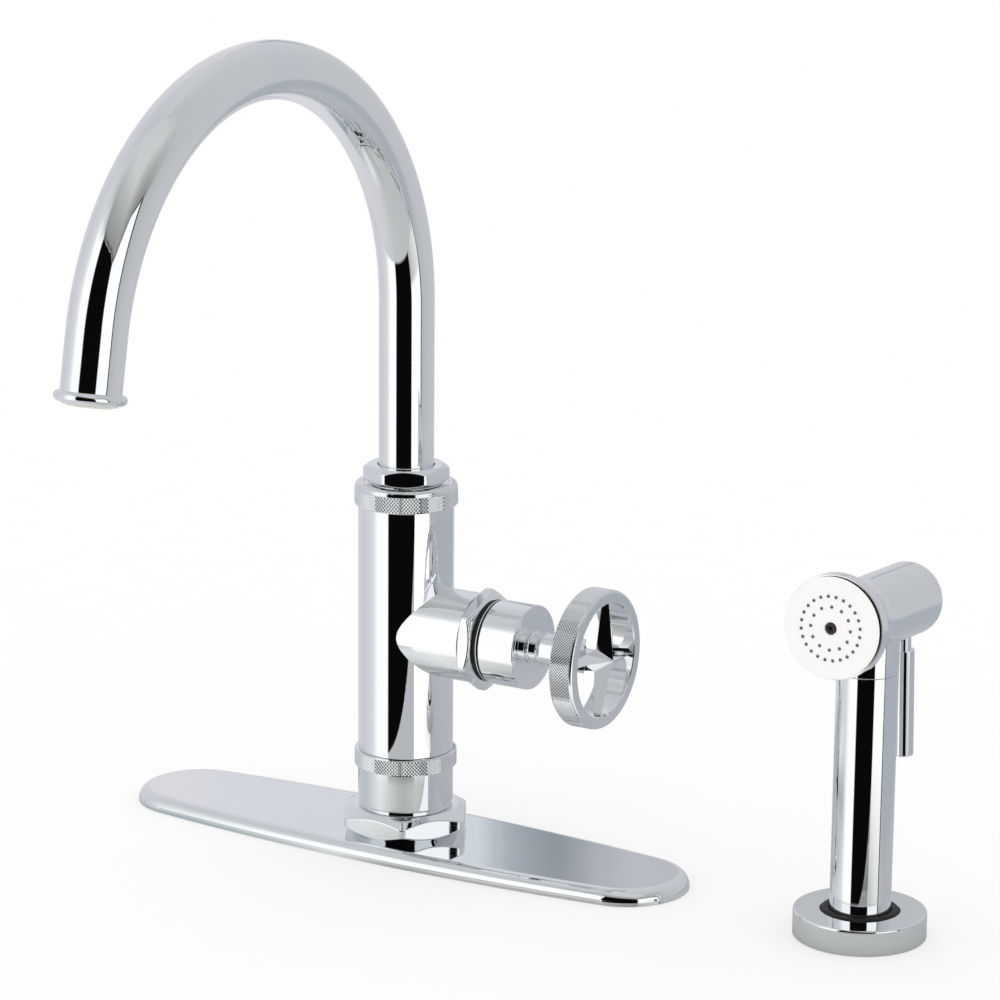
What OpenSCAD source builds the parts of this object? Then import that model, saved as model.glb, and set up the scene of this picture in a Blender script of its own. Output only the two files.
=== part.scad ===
// Deck-mounted kitchen faucet with a gooseneck spout, a side handwheel and a side sprayer.
// Millimetres. The origin is on the deck, on the axis of the faucet's body. +Z is up, the spout
// points along -Y at rest, and the handwheel and the sprayer are on the +X side.

/* [Deck plate] */
// Length of the deck plate
plate_l = 254; // [210:1:300]
// Width of the deck plate
plate_w = 63.5; // [60:0.5:90]
// Radius of the deck plate's ends
plate_end_r = 25.4; // [18:0.2:28]
// Thickness of the deck plate
plate_t = 5.8; // [4.6:0.1:9]
// Height of the deck plate's upright lip
plate_lip = 1.4; // [0.6:0.1:2.4]
// Width of the deck plate's rolled shoulder
plate_shoulder = 5.5; // [2:0.1:6.5]
// Thickness of the gasket under the deck plate
gasket_t = 1.6; // [0.8:0.1:2.6]

/* [Body column] */
// Radius of the body tube
body_r = 19.05; // [18.4:0.05:23]
// Wall of the body tube
body_wall = 2.6; // [1.6:0.1:3]
// Circumradius of the base nut
base_nut_r = 27.4; // [26:0.1:34]
// Height of the base nut
base_nut_h = 10.7; // [9:0.1:16]
// Height of the sleeve between the base nut and the lower ring
sleeve_h = 16.5; // [10:0.5:30]
// Radius of the knurled rings
ring_r = 20.55; // [19.6:0.05:25]
// Height of the lower knurled ring
ring_h = 6.8; // [4:0.1:12]
// Height of the body tube
body_h = 100.7; // [98:0.1:130]
// Height of the upper knurled ring with its bevelled rim
top_ring_h = 8.9; // [8:0.1:14]
// Height of the bevelled rim on the upper ring
rim_h = 1.5; // [0.5:0.1:2.5]
// Circumradius of the spout nut
spout_nut_r = 17.2; // [15:0.1:20]
// Height of the spout nut
spout_nut_h = 7.1; // [4:0.1:12]

/* [Side valve] */
// Height of the valve axis above the foot of the body tube
valve_rise = 50.2; // [42:0.1:51]
// Radius of the valve boss
boss_r = 17.8; // [17.3:0.1:18.6]
// Reach of the valve boss from the body axis
boss_reach = 34.5; // [32:0.5:45]
// Wall of the valve boss
boss_wall = 2.3; // [1.6:0.1:2.8]
// Circumradius of the bonnet nut
bonnet_r = 20; // [19:0.1:24]
// Thickness of the bonnet nut
bonnet_h = 6.3; // [4:0.1:9]
// Turn of the bonnet nut about the valve axis, in degrees
bonnet_turn = 10; // [0:1:59]
// Width of the dark seal ring and of the glide washer
seal_w = 0.9; // [0.5:0.1:2]
// Width of the bright ring between them
trim_w = 0.7; // [0.4:0.1:2]

/* [Handle] */
// Radius of the hub
hub_r = 16.76; // [12:0.1:20]
// Length of the hub
hub_l = 15.6; // [13:0.1:24]
// Radius of the neck in front of the hub
neck_r = 4.8; // [4.2:0.1:5.8]
// Length of the neck
neck_l = 4.2; // [1:0.1:8]
// Radius of the handle stem
stem_r = 6.2; // [5.2:0.1:7]
// Length of the handle stem from the neck to the back of the star
stem_l = 21.1; // [18.4:0.1:34]
// Outer radius of the handwheel
wheel_r = 27.4; // [25:0.1:34]
// Thickness of the handwheel's rim across the radius
rim_t = 5.1; // [3:0.1:6]
// Width of the handwheel's rim along its axis
rim_w = 10.4; // [8:0.1:16]
// Turn of the star in the rim, in degrees
star_turn = 6.5; // [0:0.5:45]
// How far the star's peak stands out of the rim's front
star_peak = 3; // [0:0.1:6]
// Half width of a star arm where it meets the rim
arm_half = 1.8; // [1:0.1:3]
// Radius of the inner corners between the star's arms
star_in_r = 7.2; // [6.4:0.1:9]

/* [Spout] */
// Outer radius of the spout tube
spout_r = 10.94; // [10.2:0.02:11.1]
// Wall of the spout tube
spout_wall = 1.6; // [0.8:0.1:2]
// Radius of the gooseneck's centre line
arc_r = 100.9; // [70:0.1:140]
// Height of the gooseneck's centre above the spout nut
leg_h = 64.8; // [20:0.1:120]
// Sweep of the gooseneck, in degrees
arc_sweep = 169.07; // [150:0.01:178]
// Length of the straight end of the spout
tail_l = 19.2; // [14:0.1:40]
// Radius of the beaded tip ring
tip_r = 13; // [12:0.1:16]
// Height of the beaded tip ring
tip_h = 4; // [3:0.1:7]

/* [Side sprayer] */
// Distance from the body axis to the sprayer axis
spray_x = 203.2; // [190:0.1:260]
// Radius of the sprayer's holder
holder_r = 25.3; // [24:0.1:32]
// Height of the sprayer's holder
holder_h = 10; // [9:0.1:16]
// Radius of the holder's rubber lip
lip_r = 16; // [15.4:0.1:18]
// Radius of the sprayer's handle tube
grip_r = 11.9; // [11.4:0.05:12.4]
// Wall of the sprayer's handle tube
grip_wall = 1.3; // [0.8:0.1:1.5]
// Height of the seam between the handle tube and the head
seam_z = 103.2; // [90:0.1:106]
// Height of the head's centre
head_z = 125.5; // [123:0.1:128]
// Upward tilt of the head, in degrees
head_tilt = 3; // [0:0.5:6]
// Radius of the head's barrel
head_r = 14; // [13.8:0.1:15]
// Length of the head behind the handle's axis
head_back = 36.35; // [36.2:0.05:38]
// Distance from the handle's axis to the front edge of the bell
bell_d = 30.2; // [29.6:0.1:34]
// Radius of the bell at its front
bell_r = 19.6; // [19.2:0.1:22]
// Radius of the spray face
face_r = 19; // [18.4:0.1:19.2]
// Radius of the outer circle of nozzles
nozzle_ring_r = 11.9; // [10:0.1:12.8]
// Number of nozzles on the outer circle, with half as many on the inner one
nozzle_count = 24; // [12:2:28]

/* [Sprayer lever] */
// Distance of the lever's pivot behind the handle's axis, along the head
pivot_back = 29.3; // [28.8:0.1:29.5]
// Height of the lever's pivot above the head's centre line
pivot_up = 6.5; // [5.5:0.1:6.8]
// Outward lean of the lever, in degrees
lever_lean = 3; // [1:0.5:3]
// Radius of the lever's neck
lever_neck_r = 2.9; // [2.2:0.05:3]
// Distance from the pivot to the top of the grip rod
lever_top = 26.4; // [25:0.1:32]
// Length of the lever's grip rod
lever_l = 42.3; // [25:0.1:48]
// Radius of the lever's grip rod
lever_r = 3.9; // [3.1:0.1:5]
// Free swing of the lever, in degrees
lever_swing = 12; // [6:0.5:12]

/* [Fits] */
// Clearance between pieces that move past each other
run_gap = 0.3; // [0.2:0.05:0.4]
// Radial clearance of a journal in its bearing
journal_gap = 0.05; // [0.02:0.01:0.1]
// Radial clearance of a sleeve or spigot that is fixed in place
slip = 0.1; // [0.05:0.01:0.15]

/* [Hidden] */
$fn = 64;

// Colours
chrome = "#d5d9dd";
brass = "#c9a24a";
rubber = "#1c1c1e";
nylon = "#e9e7e0";
ceramic = "#f2f2ee";
steel = "#b8bcc0";
face_white = "#f8f8f6";
nozzle_grey = "#7d7f82";
nozzle_brown = "#3d2c20";

// Long enough to cut through any inside piece
cut_l = 40;

// Heights up the body column
nut_top = plate_t + base_nut_h;
ring_z = nut_top + sleeve_h;
body_z = ring_z + ring_h;
top_ring_z = body_z + body_h;
rim_z = top_ring_z + top_ring_h;
spout_nut_top = rim_z + spout_nut_h;
valve_z = body_z + valve_rise;
arc_z = spout_nut_top + leg_h;

// Waterway in the brass core
core_r = body_r - body_wall - slip;
shank_r = 13.2;
shank_l = 14;
socket_r = 4.5;
socket_l = 14;
socket_z = shank_l;
supply_x = 2.5;
supply_y = 6.4;
channel_r = 3;
channel_z = socket_z + socket_l;
return_socket_x = 8.4;
return_x = 10.2;
return_r = 2;
port_drop = 5;
port_r = 2.5;
outlet_rise = 8.2;
outlet_r = 3.5;
seat_x = 7;

// Cartridge, whose axis is along +X
boss_bore = boss_r - boss_wall;
cart_r = boss_bore - run_gap;
seal_t = 1;
cart_x = seat_x + seal_t;
cart_floor = 4;
disc_t = 3.5;
disc_r = cart_r - 3.7;
disc_bore = disc_r + run_gap;
disc_x = cart_x + cart_floor;
flange_x = disc_x + 2 * disc_t;
flange_t = 2.5;
spindle_r = 6;
cart_end = boss_reach - 3.5;
bonnet_end = boss_reach + bonnet_h;
ring_bore = 9;
trim_x = bonnet_end + seal_w;
washer_x = trim_x + trim_w;
hub_x = washer_x + seal_w + run_gap;
hub_front = hub_x + hub_l;
neck_front = hub_front + neck_l;
star_x = neck_front + stem_l;
spindle_l = hub_front - 5.2 - flange_x;
spigot_r = neck_r - 0.85;
spigot_l = 3.7;
screw_r = 2;
screw_x = hub_x + 4.4;

// Handwheel
rim_back = star_x - 2.9;
rim_front = rim_back + rim_w;
edge_x = star_x + 3;
ridge_x = rim_front - 1;
peak_x = rim_front + star_peak;
rim_in = wheel_r - rim_t;
rim_reach = rim_in + 1;
wheel_bore = 3;
wheel_bore_l = 5.5;

// Spout bearing and diverter
core_top = top_ring_z;
journal_r = 12;
journal_z = core_top - 17;
glide_t = 2;
flange_r = 14.5;
shank_flange_z = core_top + glide_t;
shank_flange_t = 3;
shank_top = shank_flange_z + shank_flange_t;
tube_foot = core_top - 4.5;
tube_in = spout_r - spout_wall;
shank_bore = 8.5;
groove_w = 2;
groove_r = 10.4;
groove_z = [journal_z + 2.6, journal_z + 8.2];
oring_c = (journal_r - groove_r) / 2;
pocket_z = journal_z - 1.5;
chamber_r = 7.5;
chamber_z = pocket_z - 14;
div_bore = 4.5;
div_floor = 1.5;
div_flange_t = 1.2;
div_flange_r = 11.7;
poppet_z = chamber_z + run_gap + div_floor;
poppet_h = 3;
poppet_travel = 3;
div_lip_z = pocket_z - 1;
return_port_z = chamber_z + 6.5;

// Tip of the spout, measured along its axis
tail_tuck = 1;
tail_step = 0.02;
tip_lip = 1.3;
tip_pocket_r = 10.2;
collar_l = 9.2;
collar_r = tube_in - slip;
collar_bore = collar_r - 1.2;
insert_r = tip_pocket_r - run_gap;
insert_out = 1.2;
washer_t = 0.8;

// Sprayer holder and handle
bush_z = 6;
bush_r = 15;
bush_floor = 1;
grip_z = bush_z + bush_floor;
grip_in = grip_r - grip_wall;
grip_lip = 0.8;
connector_r = grip_in - run_gap;
connector_l = 16;
hose_r = 6.9;
hose_l = 9;
connector_top = grip_z + grip_lip + connector_l;
pipe_bore = 6;
pipe_r = 8;
spigot_top = connector_top + 10;
neck_bore = 9.4;
pipe_top = head_z - 12;
pipe_tip = head_z - 5.6;
pipe_tip_r = 4.9;

// Sprayer head, measured along its axis from the handle's axis
head_wall = 2.2;
head_in = head_r - head_wall;
cavity_back = head_back - 1.35;
bell_start = 3;
bell_lip = 25;
bell_rise = bell_r - head_r;
bell_arc = (pow(bell_lip - bell_start, 2) + pow(bell_rise, 2)) / (2 * bell_rise);
front_d = 22.2;
front_in = bell_r - 3.2;
seam_w = 1.2;
face_d = bell_d + seam_w;
face_t = 1.25;
mat_t = 1.2;
mat_r = 14.2;
inner_ring_r = nozzle_ring_r * 0.672;
nub_r = 0.72;
valve_back = 14;
valve_front = 3;
valve_r = 5;
cap_t = 1.5;
cap_r = 8;
cap_spigot = 0.7;
piston_back = -valve_back + cap_spigot + run_gap;
piston_front = piston_back + 8;
oring_d = piston_back + 3.8;
oring_half = 0.8;
tip_stem_r = 1.6;
tip_start = -pivot_back - pivot_up * tan(lever_lean + head_tilt) + lever_neck_r + 0.4;
pin_r = 1.5;
pin_half = 10.8;
eye_r = 3.4;
eye_half = 3;
slot_drop = pivot_up + head_r;
slot_back = -pivot_back - slot_drop * tan(lever_lean + head_tilt);
slot_front = -pivot_back + slot_drop * tan(lever_swing - lever_lean - head_tilt);
rod_shift = (lever_r - lever_neck_r) * 0.7;

// Points of a four-arc oval, drawn in from its full outline by the given inset
function oval_side_r(l, w, e) = (pow(l / 2 - e, 2) + pow(w / 2, 2) - e * e) / (w - 2 * e);
function oval(l, w, e, inset, n = 16) =
    let (h = l / 2 - e, s = oval_side_r(l, w, e), c = s - w / 2, a = atan2(c, h),
        quarter = concat(
            [for (i = [0:n]) [h + (e - inset) * cos(a * i / n), (e - inset) * sin(a * i / n)]],
            [for (i = [1:n]) let (t = a + (90 - a) * i / n)
                [(s - inset) * cos(t), (s - inset) * sin(t) - c]]))
    concat(quarter,
        [for (i = [2 * n - 1:-1:0]) [-quarter[i][0], quarter[i][1]]],
        [for (i = [1:2 * n]) [-quarter[i][0], -quarter[i][1]]],
        [for (i = [2 * n - 1:-1:1]) [quarter[i][0], -quarter[i][1]]]);

// A ring or a plain disc
module ring(r, bore, h) {
    difference() {
        cylinder(r = r, h = h);
        translate([0, 0, -1])
            cylinder(r = bore, h = h + 2);
    }
}

// A round bar along +X from x0 to x1, on the valve axis
module bar(r, x0, x1, y = 0, z = valve_z) {
    translate([x0, y, z])
        rotate([0, 90, 0])
            cylinder(r = r, h = x1 - x0);
}

// A shape turned about the valve axis, drawn with x as the radius and y as the place along +X
module turned_on_valve() {
    translate([0, 0, valve_z])
        rotate([90, 0, 90])
            rotate_extrude()
                children();
}

// A hex prism whose corners are cut by a cone at each end
module chamfered_hex(r, h, low, high, flat) {
    intersection() {
        cylinder(r = r, h = h, $fn = 6);
        rotate_extrude()
            polygon([[0, 0], [flat, 0], [r, low], [r, h - high], [flat, h], [0, h]]);
    }
}

// Frame of the spout's tip: +Z runs out of the spout
module on_tip() {
    translate([0, arc_r * (cos(arc_sweep) - 1), arc_z + arc_r * sin(arc_sweep)])
        rotate([arc_sweep, 0, 0])
            children();
}

// Frame of the sprayer's head: +Z runs out of the spray face, +Y is up
module on_head() {
    translate([spray_x, 0, head_z])
        rotate([90 - head_tilt, 0, 0])
            children();
}

// Frame of the lever: its origin is on the pivot and -Z runs down the lever
module on_lever() {
    on_head()
        translate([0, pivot_up, -pivot_back])
            rotate([lever_lean + head_tilt - 90, 0, 0])
                children();
}

// Deck plate, with its gasket and the hole for the body's core
module deck_plate() {
    roll = plate_t - plate_lip;
    color(chrome)
        difference() {
            hull() {
                linear_extrude(plate_lip)
                    polygon(oval(plate_l, plate_w, plate_end_r, 0));
                for (a = [15:15:75])
                    translate([0, 0, plate_lip + roll * sin(a) - 0.01])
                        linear_extrude(0.01)
                            polygon(oval(plate_l, plate_w, plate_end_r, plate_shoulder * (1 - cos(a))));
                translate([0, 0, plate_t - 0.01])
                    linear_extrude(0.01)
                        polygon(oval(plate_l, plate_w, plate_end_r, plate_shoulder));
            }
            translate([0, 0, -1])
                linear_extrude(1 + gasket_t)
                    polygon(oval(plate_l, plate_w, plate_end_r, 3.5));
            translate([0, 0, -1])
                cylinder(r = core_r + slip, h = plate_t + 2);
        }
}

module deck_gasket() {
    color(rubber)
        difference() {
            linear_extrude(gasket_t)
                polygon(oval(plate_l, plate_w, plate_end_r, 3.5 + run_gap));
            translate([0, 0, -1])
                cylinder(r = core_r + 1, h = gasket_t + 2);
        }
}

// Body column, from the deck plate up
module base_nut() {
    color(chrome)
        translate([0, 0, plate_t])
            difference() {
                chamfered_hex(base_nut_r, base_nut_h, 3.6, 3.1, base_nut_r - 5.9);
                translate([0, 0, -1])
                    cylinder(r = core_r + slip, h = base_nut_h + 2);
            }
}

module lower_sleeve() {
    color(chrome)
        translate([0, 0, nut_top])
            rotate_extrude()
                polygon([[core_r + slip, 0], [body_r - 1.1, 0], [body_r - 1.1, 0.6],
                    [body_r - 0.4, 0.9], [body_r, 1.7], [body_r, sleeve_h], [core_r + slip, sleeve_h]]);
}

module lower_knurl_ring() {
    color(chrome)
        translate([0, 0, ring_z])
            rotate_extrude()
                polygon([[core_r + slip, 0], [ring_r - 0.5, 0], [ring_r, 0.5],
                    [ring_r, ring_h - 0.5], [ring_r - 0.5, ring_h], [core_r + slip, ring_h]]);
}

module body_shell() {
    color(chrome)
        difference() {
            union() {
                translate([0, 0, body_z])
                    cylinder(r = body_r, h = body_h);
                bar(boss_r, 0, boss_reach);
            }
            translate([0, 0, body_z - 1])
                cylinder(r = core_r + slip, h = body_h + 2);
            bar(boss_bore, seat_x, boss_reach + 1);
        }
}

module upper_knurl_ring() {
    color(chrome)
        translate([0, 0, top_ring_z])
            rotate_extrude()
                polygon([[core_r + slip, 0], [ring_r - 0.4, 0], [ring_r, 0.4],
                    [ring_r, top_ring_h - rim_h], [ring_r - 0.5, top_ring_h - rim_h + 0.1],
                    [ring_r - 1.5, top_ring_h], [spout_r + run_gap, top_ring_h],
                    [spout_r + run_gap, shank_top + run_gap - top_ring_z],
                    [core_r + slip, shank_top + run_gap - top_ring_z]]);
}

module spout_nut() {
    color(chrome)
        translate([0, 0, rim_z])
            rotate([0, 0, 30])
                difference() {
                    chamfered_hex(spout_nut_r, spout_nut_h, 1.6, 1.6, spout_nut_r - 2.6);
                    translate([0, 0, -1])
                        cylinder(r = spout_r + run_gap, h = spout_nut_h + 2);
                }
}

// Brass core: shank thread and hose sockets below, cartridge seat at the side, diverter
// chamber and spout bearing above
module body_core() {
    color(brass)
        difference() {
            cylinder(r = core_r, h = core_top);
            translate([0, 0, -1])
                cylinder(r = shank_r, h = shank_l + 1);
            for (side = [-1, 1]) {
                translate([supply_x, side * supply_y, socket_z - 1])
                    cylinder(r = socket_r, h = socket_l + 1);
                translate([supply_x - 1, side * supply_y, channel_z - 1])
                    cylinder(r = channel_r, h = valve_z - port_drop - channel_z + 1);
                bar(port_r, supply_x - 1, seat_x + 1, side * supply_y, valve_z - port_drop);
            }
            translate([-return_socket_x, 0, socket_z - 1])
                cylinder(r = socket_r, h = socket_l + 1);
            translate([-return_x, 0, channel_z - 1])
                cylinder(r = return_r, h = return_port_z - channel_z + 1);
            bar(return_r - 0.2, -return_x, 0, 0, return_port_z);
            bar(outlet_r, 0, seat_x + 1, 0, valve_z + outlet_rise);
            translate([0, 0, valve_z + outlet_rise])
                cylinder(r = outlet_r, h = chamber_z - valve_z - outlet_rise + 1);
            bar(boss_bore - slip, seat_x, core_r + 1);
            translate([0, 0, chamber_z])
                cylinder(r = chamber_r, h = pocket_z - chamber_z + 1);
            translate([0, 0, pocket_z])
                cylinder(r = journal_r + journal_gap, h = core_top - pocket_z + 1);
        }
}

// The three water ports that the seal, the cartridge's floor and the fixed disc share
module water_ports(x0, x1) {
    for (side = [-1, 1])
        bar(port_r, x0 - 1, x1 + 1, side * supply_y, valve_z - port_drop);
    bar(outlet_r, x0 - 1, x1 + 1, 0, valve_z + outlet_rise * 0.7);
}

module cartridge_seals() {
    color(rubber)
        difference() {
            bar(cart_r, seat_x, cart_x);
            bar(port_r, seat_x - 1, cart_x + 1, supply_y, valve_z - port_drop);
            bar(port_r, seat_x - 1, cart_x + 1, -supply_y, valve_z - port_drop);
            bar(outlet_r, seat_x - 1, cart_x + 1, 0, valve_z + outlet_rise * 0.85);
        }
}

module cartridge_body() {
    color(nylon)
        difference() {
            bar(cart_r, cart_x, cart_end);
            water_ports(cart_x, disc_x);
            bar(disc_bore, disc_x, flange_x + flange_t + run_gap);
            bar(spindle_r + journal_gap, disc_x, cart_end + 1);
        }
}

module fixed_disc() {
    color(ceramic)
        difference() {
            bar(disc_r, disc_x, disc_x + disc_t);
            water_ports(disc_x, disc_x + disc_t);
        }
}

module moving_disc() {
    color(ceramic)
        difference() {
            bar(disc_r, disc_x + disc_t, flange_x);
            bar(port_r + 0.6, disc_x + disc_t - 1, flange_x - 1, 0, valve_z + 1.5);
            bar(outlet_r, disc_x + disc_t - 1, flange_x - 1, 0, valve_z + outlet_rise * 0.7);
        }
}

module cartridge_stem() {
    color(steel)
        union() {
            bar(disc_r - 1, flange_x, flange_x + flange_t);
            bar(spindle_r, flange_x + flange_t, flange_x + spindle_l);
        }
}

module bonnet_nut() {
    color(chrome)
        difference() {
            union() {
                bar(cart_r, cart_end, boss_reach);
                translate([boss_reach, 0, valve_z])
                    rotate([bonnet_turn, 0, 0])
                        rotate([0, 90, 0])
                            chamfered_hex(bonnet_r, bonnet_h, 1.2, 2, bonnet_r - 3.4);
            }
            bar(ring_bore, cart_end - 1, bonnet_end + 1);
        }
}

module seal_ring() {
    color(rubber)
        difference() {
            bar(hub_r - 0.6, bonnet_end, trim_x);
            bar(ring_bore, bonnet_end - 1, trim_x + 1);
        }
}

module trim_ring() {
    color(chrome)
        difference() {
            bar(hub_r - 0.2, trim_x, washer_x);
            bar(ring_bore, trim_x - 1, washer_x + 1);
        }
}

module glide_washer() {
    color(rubber)
        difference() {
            bar(hub_r - 0.6, washer_x, washer_x + seal_w);
            bar(ring_bore, washer_x - 1, washer_x + seal_w + 1);
        }
}

// Handle
module handle_hub() {
    color(chrome)
        difference() {
            turned_on_valve()
                polygon([[0, hub_x], [hub_r - 0.5, hub_x], [hub_r, hub_x + 0.5],
                    [hub_r, hub_front - 0.5], [hub_r - 0.5, hub_front], [0, hub_front]]);
            bar(spindle_r + journal_gap, hub_x - 1, flange_x + spindle_l + run_gap);
            bar(spigot_r + journal_gap, hub_front - spigot_l - run_gap, hub_front + 1);
            translate([screw_x, 0, valve_z - hub_r - 1])
                cylinder(r = screw_r + journal_gap, h = hub_r + 1);
        }
}

module hub_screw() {
    color(steel)
        translate([screw_x, 0, valve_z - hub_r + 1])
            difference() {
                cylinder(r = screw_r, h = hub_r - 1 - spindle_r - journal_gap);
                translate([0, 0, -1])
                    cylinder(r = screw_r / 2, h = 3, $fn = 6);
            }
}

module handle_stem() {
    color(chrome)
        turned_on_valve()
            polygon([[0, hub_front - spigot_l], [spigot_r, hub_front - spigot_l], [spigot_r, hub_front],
                [neck_r, hub_front], [neck_r, neck_front], [stem_r + 0.1, neck_front],
                [stem_r + 0.4, neck_front + 0.4], [stem_r + 0.4, neck_front + 1.6],
                [stem_r, neck_front + 2], [stem_r, star_x], [wheel_bore - journal_gap, star_x],
                [wheel_bore - journal_gap, star_x + wheel_bore_l - run_gap],
                [0, star_x + wheel_bore_l - run_gap]]);
}

// Four-point star with a ridge along each arm that rises to a peak in the middle
function star_outline(x) = [for (arm = [0:3], k = [-1, 0, 1])
    let (a = arm * 90)
    k == -1 ? [x, rim_reach * cos(a) + arm_half * sin(a), rim_reach * sin(a) - arm_half * cos(a)]
    : k == 0 ? [x, rim_reach * cos(a) - arm_half * sin(a), rim_reach * sin(a) + arm_half * cos(a)]
    : [x, star_in_r * cos(a + 45), star_in_r * sin(a + 45)]];

module star() {
    back = star_outline(star_x);
    edge = star_outline(edge_x);
    ridge = [for (arm = [0:3]) [ridge_x, rim_reach * cos(arm * 90), rim_reach * sin(arm * 90)]];
    points = concat(back, edge, ridge, [[peak_x, 0, 0], [star_x, 0, 0]]);
    faces = concat(
        [for (i = [0:11]) [i, (i + 1) % 12, 29]],
        [for (i = [0:11]) [i, 12 + i, (i + 1) % 12]],
        [for (i = [0:11]) [12 + i, 12 + (i + 1) % 12, (i + 1) % 12]],
        [for (arm = [0:3]) [12 + 3 * arm, 24 + arm, 13 + 3 * arm]],
        [for (arm = [0:3]) [24 + arm, 28, 14 + 3 * arm]],
        [for (arm = [0:3]) [13 + 3 * arm, 24 + arm, 14 + 3 * arm]],
        [for (arm = [0:3]) [12 + 3 * ((arm + 1) % 4), 14 + 3 * arm, 24 + (arm + 1) % 4]],
        [for (arm = [0:3]) [14 + 3 * arm, 28, 24 + (arm + 1) % 4]]);
    polyhedron(points, faces);
}

module handwheel() {
    bevel = 1.2;
    color(chrome)
        difference() {
            union() {
                turned_on_valve()
                    polygon([[rim_in, rim_back + 0.5], [rim_in + 0.5, rim_back],
                        [wheel_r - bevel, rim_back], [wheel_r, rim_back + bevel],
                        [wheel_r, rim_front - bevel], [wheel_r - bevel, rim_front],
                        [rim_in + 0.5, rim_front], [rim_in, rim_front - 0.5]]);
                translate([0, 0, valve_z])
                    rotate([-star_turn, 0, 0])
                        star();
            }
            bar(wheel_bore, star_x - 1, star_x + wheel_bore_l);
        }
}

// Diverter
module diverter_housing() {
    color(nylon)
        difference() {
            union() {
                translate([0, 0, chamber_z + run_gap])
                    cylinder(r = chamber_r - slip, h = pocket_z - chamber_z - run_gap);
                translate([0, 0, pocket_z])
                    cylinder(r = div_flange_r, h = div_flange_t);
            }
            translate([0, 0, chamber_z - 1])
                cylinder(r = div_bore / 2, h = cut_l);
            translate([0, 0, poppet_z])
                cylinder(r = div_bore, h = div_lip_z - poppet_z);
            bar(return_r - 0.2, -chamber_r - 1, 0, 0, return_port_z);
        }
}

module diverter_poppet() {
    color(nylon)
        translate([0, 0, poppet_z])
            union() {
                cylinder(r = div_bore - journal_gap, h = poppet_h);
                cylinder(r = 1.4, h = poppet_h + 4);
            }
}

module diverter_spring() {
    color(steel)
        translate([0, 0, poppet_z + poppet_h])
            ring(3.9, 3.1, div_lip_z - poppet_z - poppet_h);
}

// Spout
module spout_glide_ring() {
    color(nylon)
        translate([0, 0, core_top])
            ring(core_r - run_gap, journal_r + run_gap, glide_t);
}

module spout_shank() {
    color(brass)
        difference() {
            union() {
                translate([0, 0, journal_z])
                    cylinder(r = journal_r, h = shank_flange_z - journal_z);
                translate([0, 0, shank_flange_z])
                    cylinder(r = flange_r, h = shank_flange_t);
            }
            for (z = groove_z)
                translate([0, 0, z])
                    ring(journal_r + 1, groove_r, groove_w);
            translate([0, 0, journal_z - 1])
                cylinder(r = shank_bore, h = cut_l);
            translate([0, 0, tube_foot])
                cylinder(r = spout_r + journal_gap, h = cut_l);
        }
}

module spout_orings() {
    color(rubber)
        for (z = groove_z)
            translate([0, 0, z + groove_w / 2])
                rotate_extrude()
                    translate([groove_r + oring_c, 0])
                        circle(r = oring_c);
}

// The gooseneck's run with the given radius: leg, arc and straight end, with some extra at both ends.
// The straight end is a hair slimmer and starts inside the arc, so that the two join cleanly.
module gooseneck(r, extra = 0) {
    translate([0, 0, tube_foot - extra])
        cylinder(r = r, h = arc_z - tube_foot + extra);
    translate([0, -arc_r, arc_z])
        rotate([90, 0, 90])
            rotate_extrude(angle = arc_sweep)
                translate([arc_r, 0])
                    circle(r = r);
    on_tip()
        translate([0, 0, -tail_tuck])
            cylinder(r = r - tail_step, h = tail_l + tail_tuck + extra);
}

module spout_tube() {
    color(chrome)
        difference() {
            gooseneck(spout_r);
            gooseneck(tube_in, 1);
        }
}

module tip_ring() {
    mid = tail_l + tip_h / 2;
    color(chrome)
        on_tip()
            rotate_extrude()
                polygon(concat(
                    [[collar_bore, tail_l - collar_l], [collar_r, tail_l - collar_l], [collar_r, tail_l]],
                    [for (a = [-90:15:90]) [tip_r - tip_h / 2 + tip_h / 2 * cos(a), mid + tip_h / 2 * sin(a)]],
                    [[tip_pocket_r, tail_l + tip_h], [tip_pocket_r, tail_l + tip_lip],
                        [collar_bore, tail_l + tip_lip]]));
}

module aerator_washer() {
    color(rubber)
        on_tip()
            translate([0, 0, tail_l + tip_lip])
                ring(insert_r, collar_bore, washer_t);
}

module aerator_insert() {
    top = tail_l - collar_l + 2;
    head = tail_l + tip_lip + washer_t;
    bottom = tail_l + tip_h + insert_out;
    color(nylon)
        on_tip()
            difference() {
                union() {
                    translate([0, 0, top])
                        cylinder(r = collar_bore - slip, h = bottom - top);
                    translate([0, 0, head])
                        cylinder(r = insert_r, h = bottom - head - 0.6);
                }
                translate([0, 0, top + 2])
                    for (a = [0:45:315])
                        rotate([0, 0, a])
                            translate([5, 0, -3])
                                cylinder(r = 1.1, h = cut_l);
                translate([0, 0, top - 1])
                    cylinder(r = 1.8, h = cut_l);
            }
}

module aerator_screen() {
    color(steel)
        on_tip()
            translate([0, 0, tail_l - collar_l + 1.2])
                ring(collar_bore - slip, 2, 0.8);
}

// Side sprayer: holder
module holder_base() {
    color(chrome)
        difference() {
            rotate_spray()
                polygon([[0, 0], [holder_r, 0], [holder_r, holder_h - 0.6],
                    [holder_r - 0.6, holder_h], [0, holder_h]]);
            translate([spray_x, 0, -1])
                cylinder(r = shank_r, h = bush_z + 2);
            translate([spray_x, 0, bush_z])
                cylinder(r = bush_r + slip, h = holder_h);
            translate([spray_x, 0, -1])
                ring(holder_r - 1.8, holder_r - 6.3, 2.5);
        }
}

// A shape turned about the sprayer's axis
module rotate_spray() {
    translate([spray_x, 0, 0])
        rotate_extrude()
            children();
}

module holder_gasket() {
    color(rubber)
        translate([spray_x, 0, 0])
            ring(holder_r - 1.8 - slip, holder_r - 6.3 + slip, 1.5);
}

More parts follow.
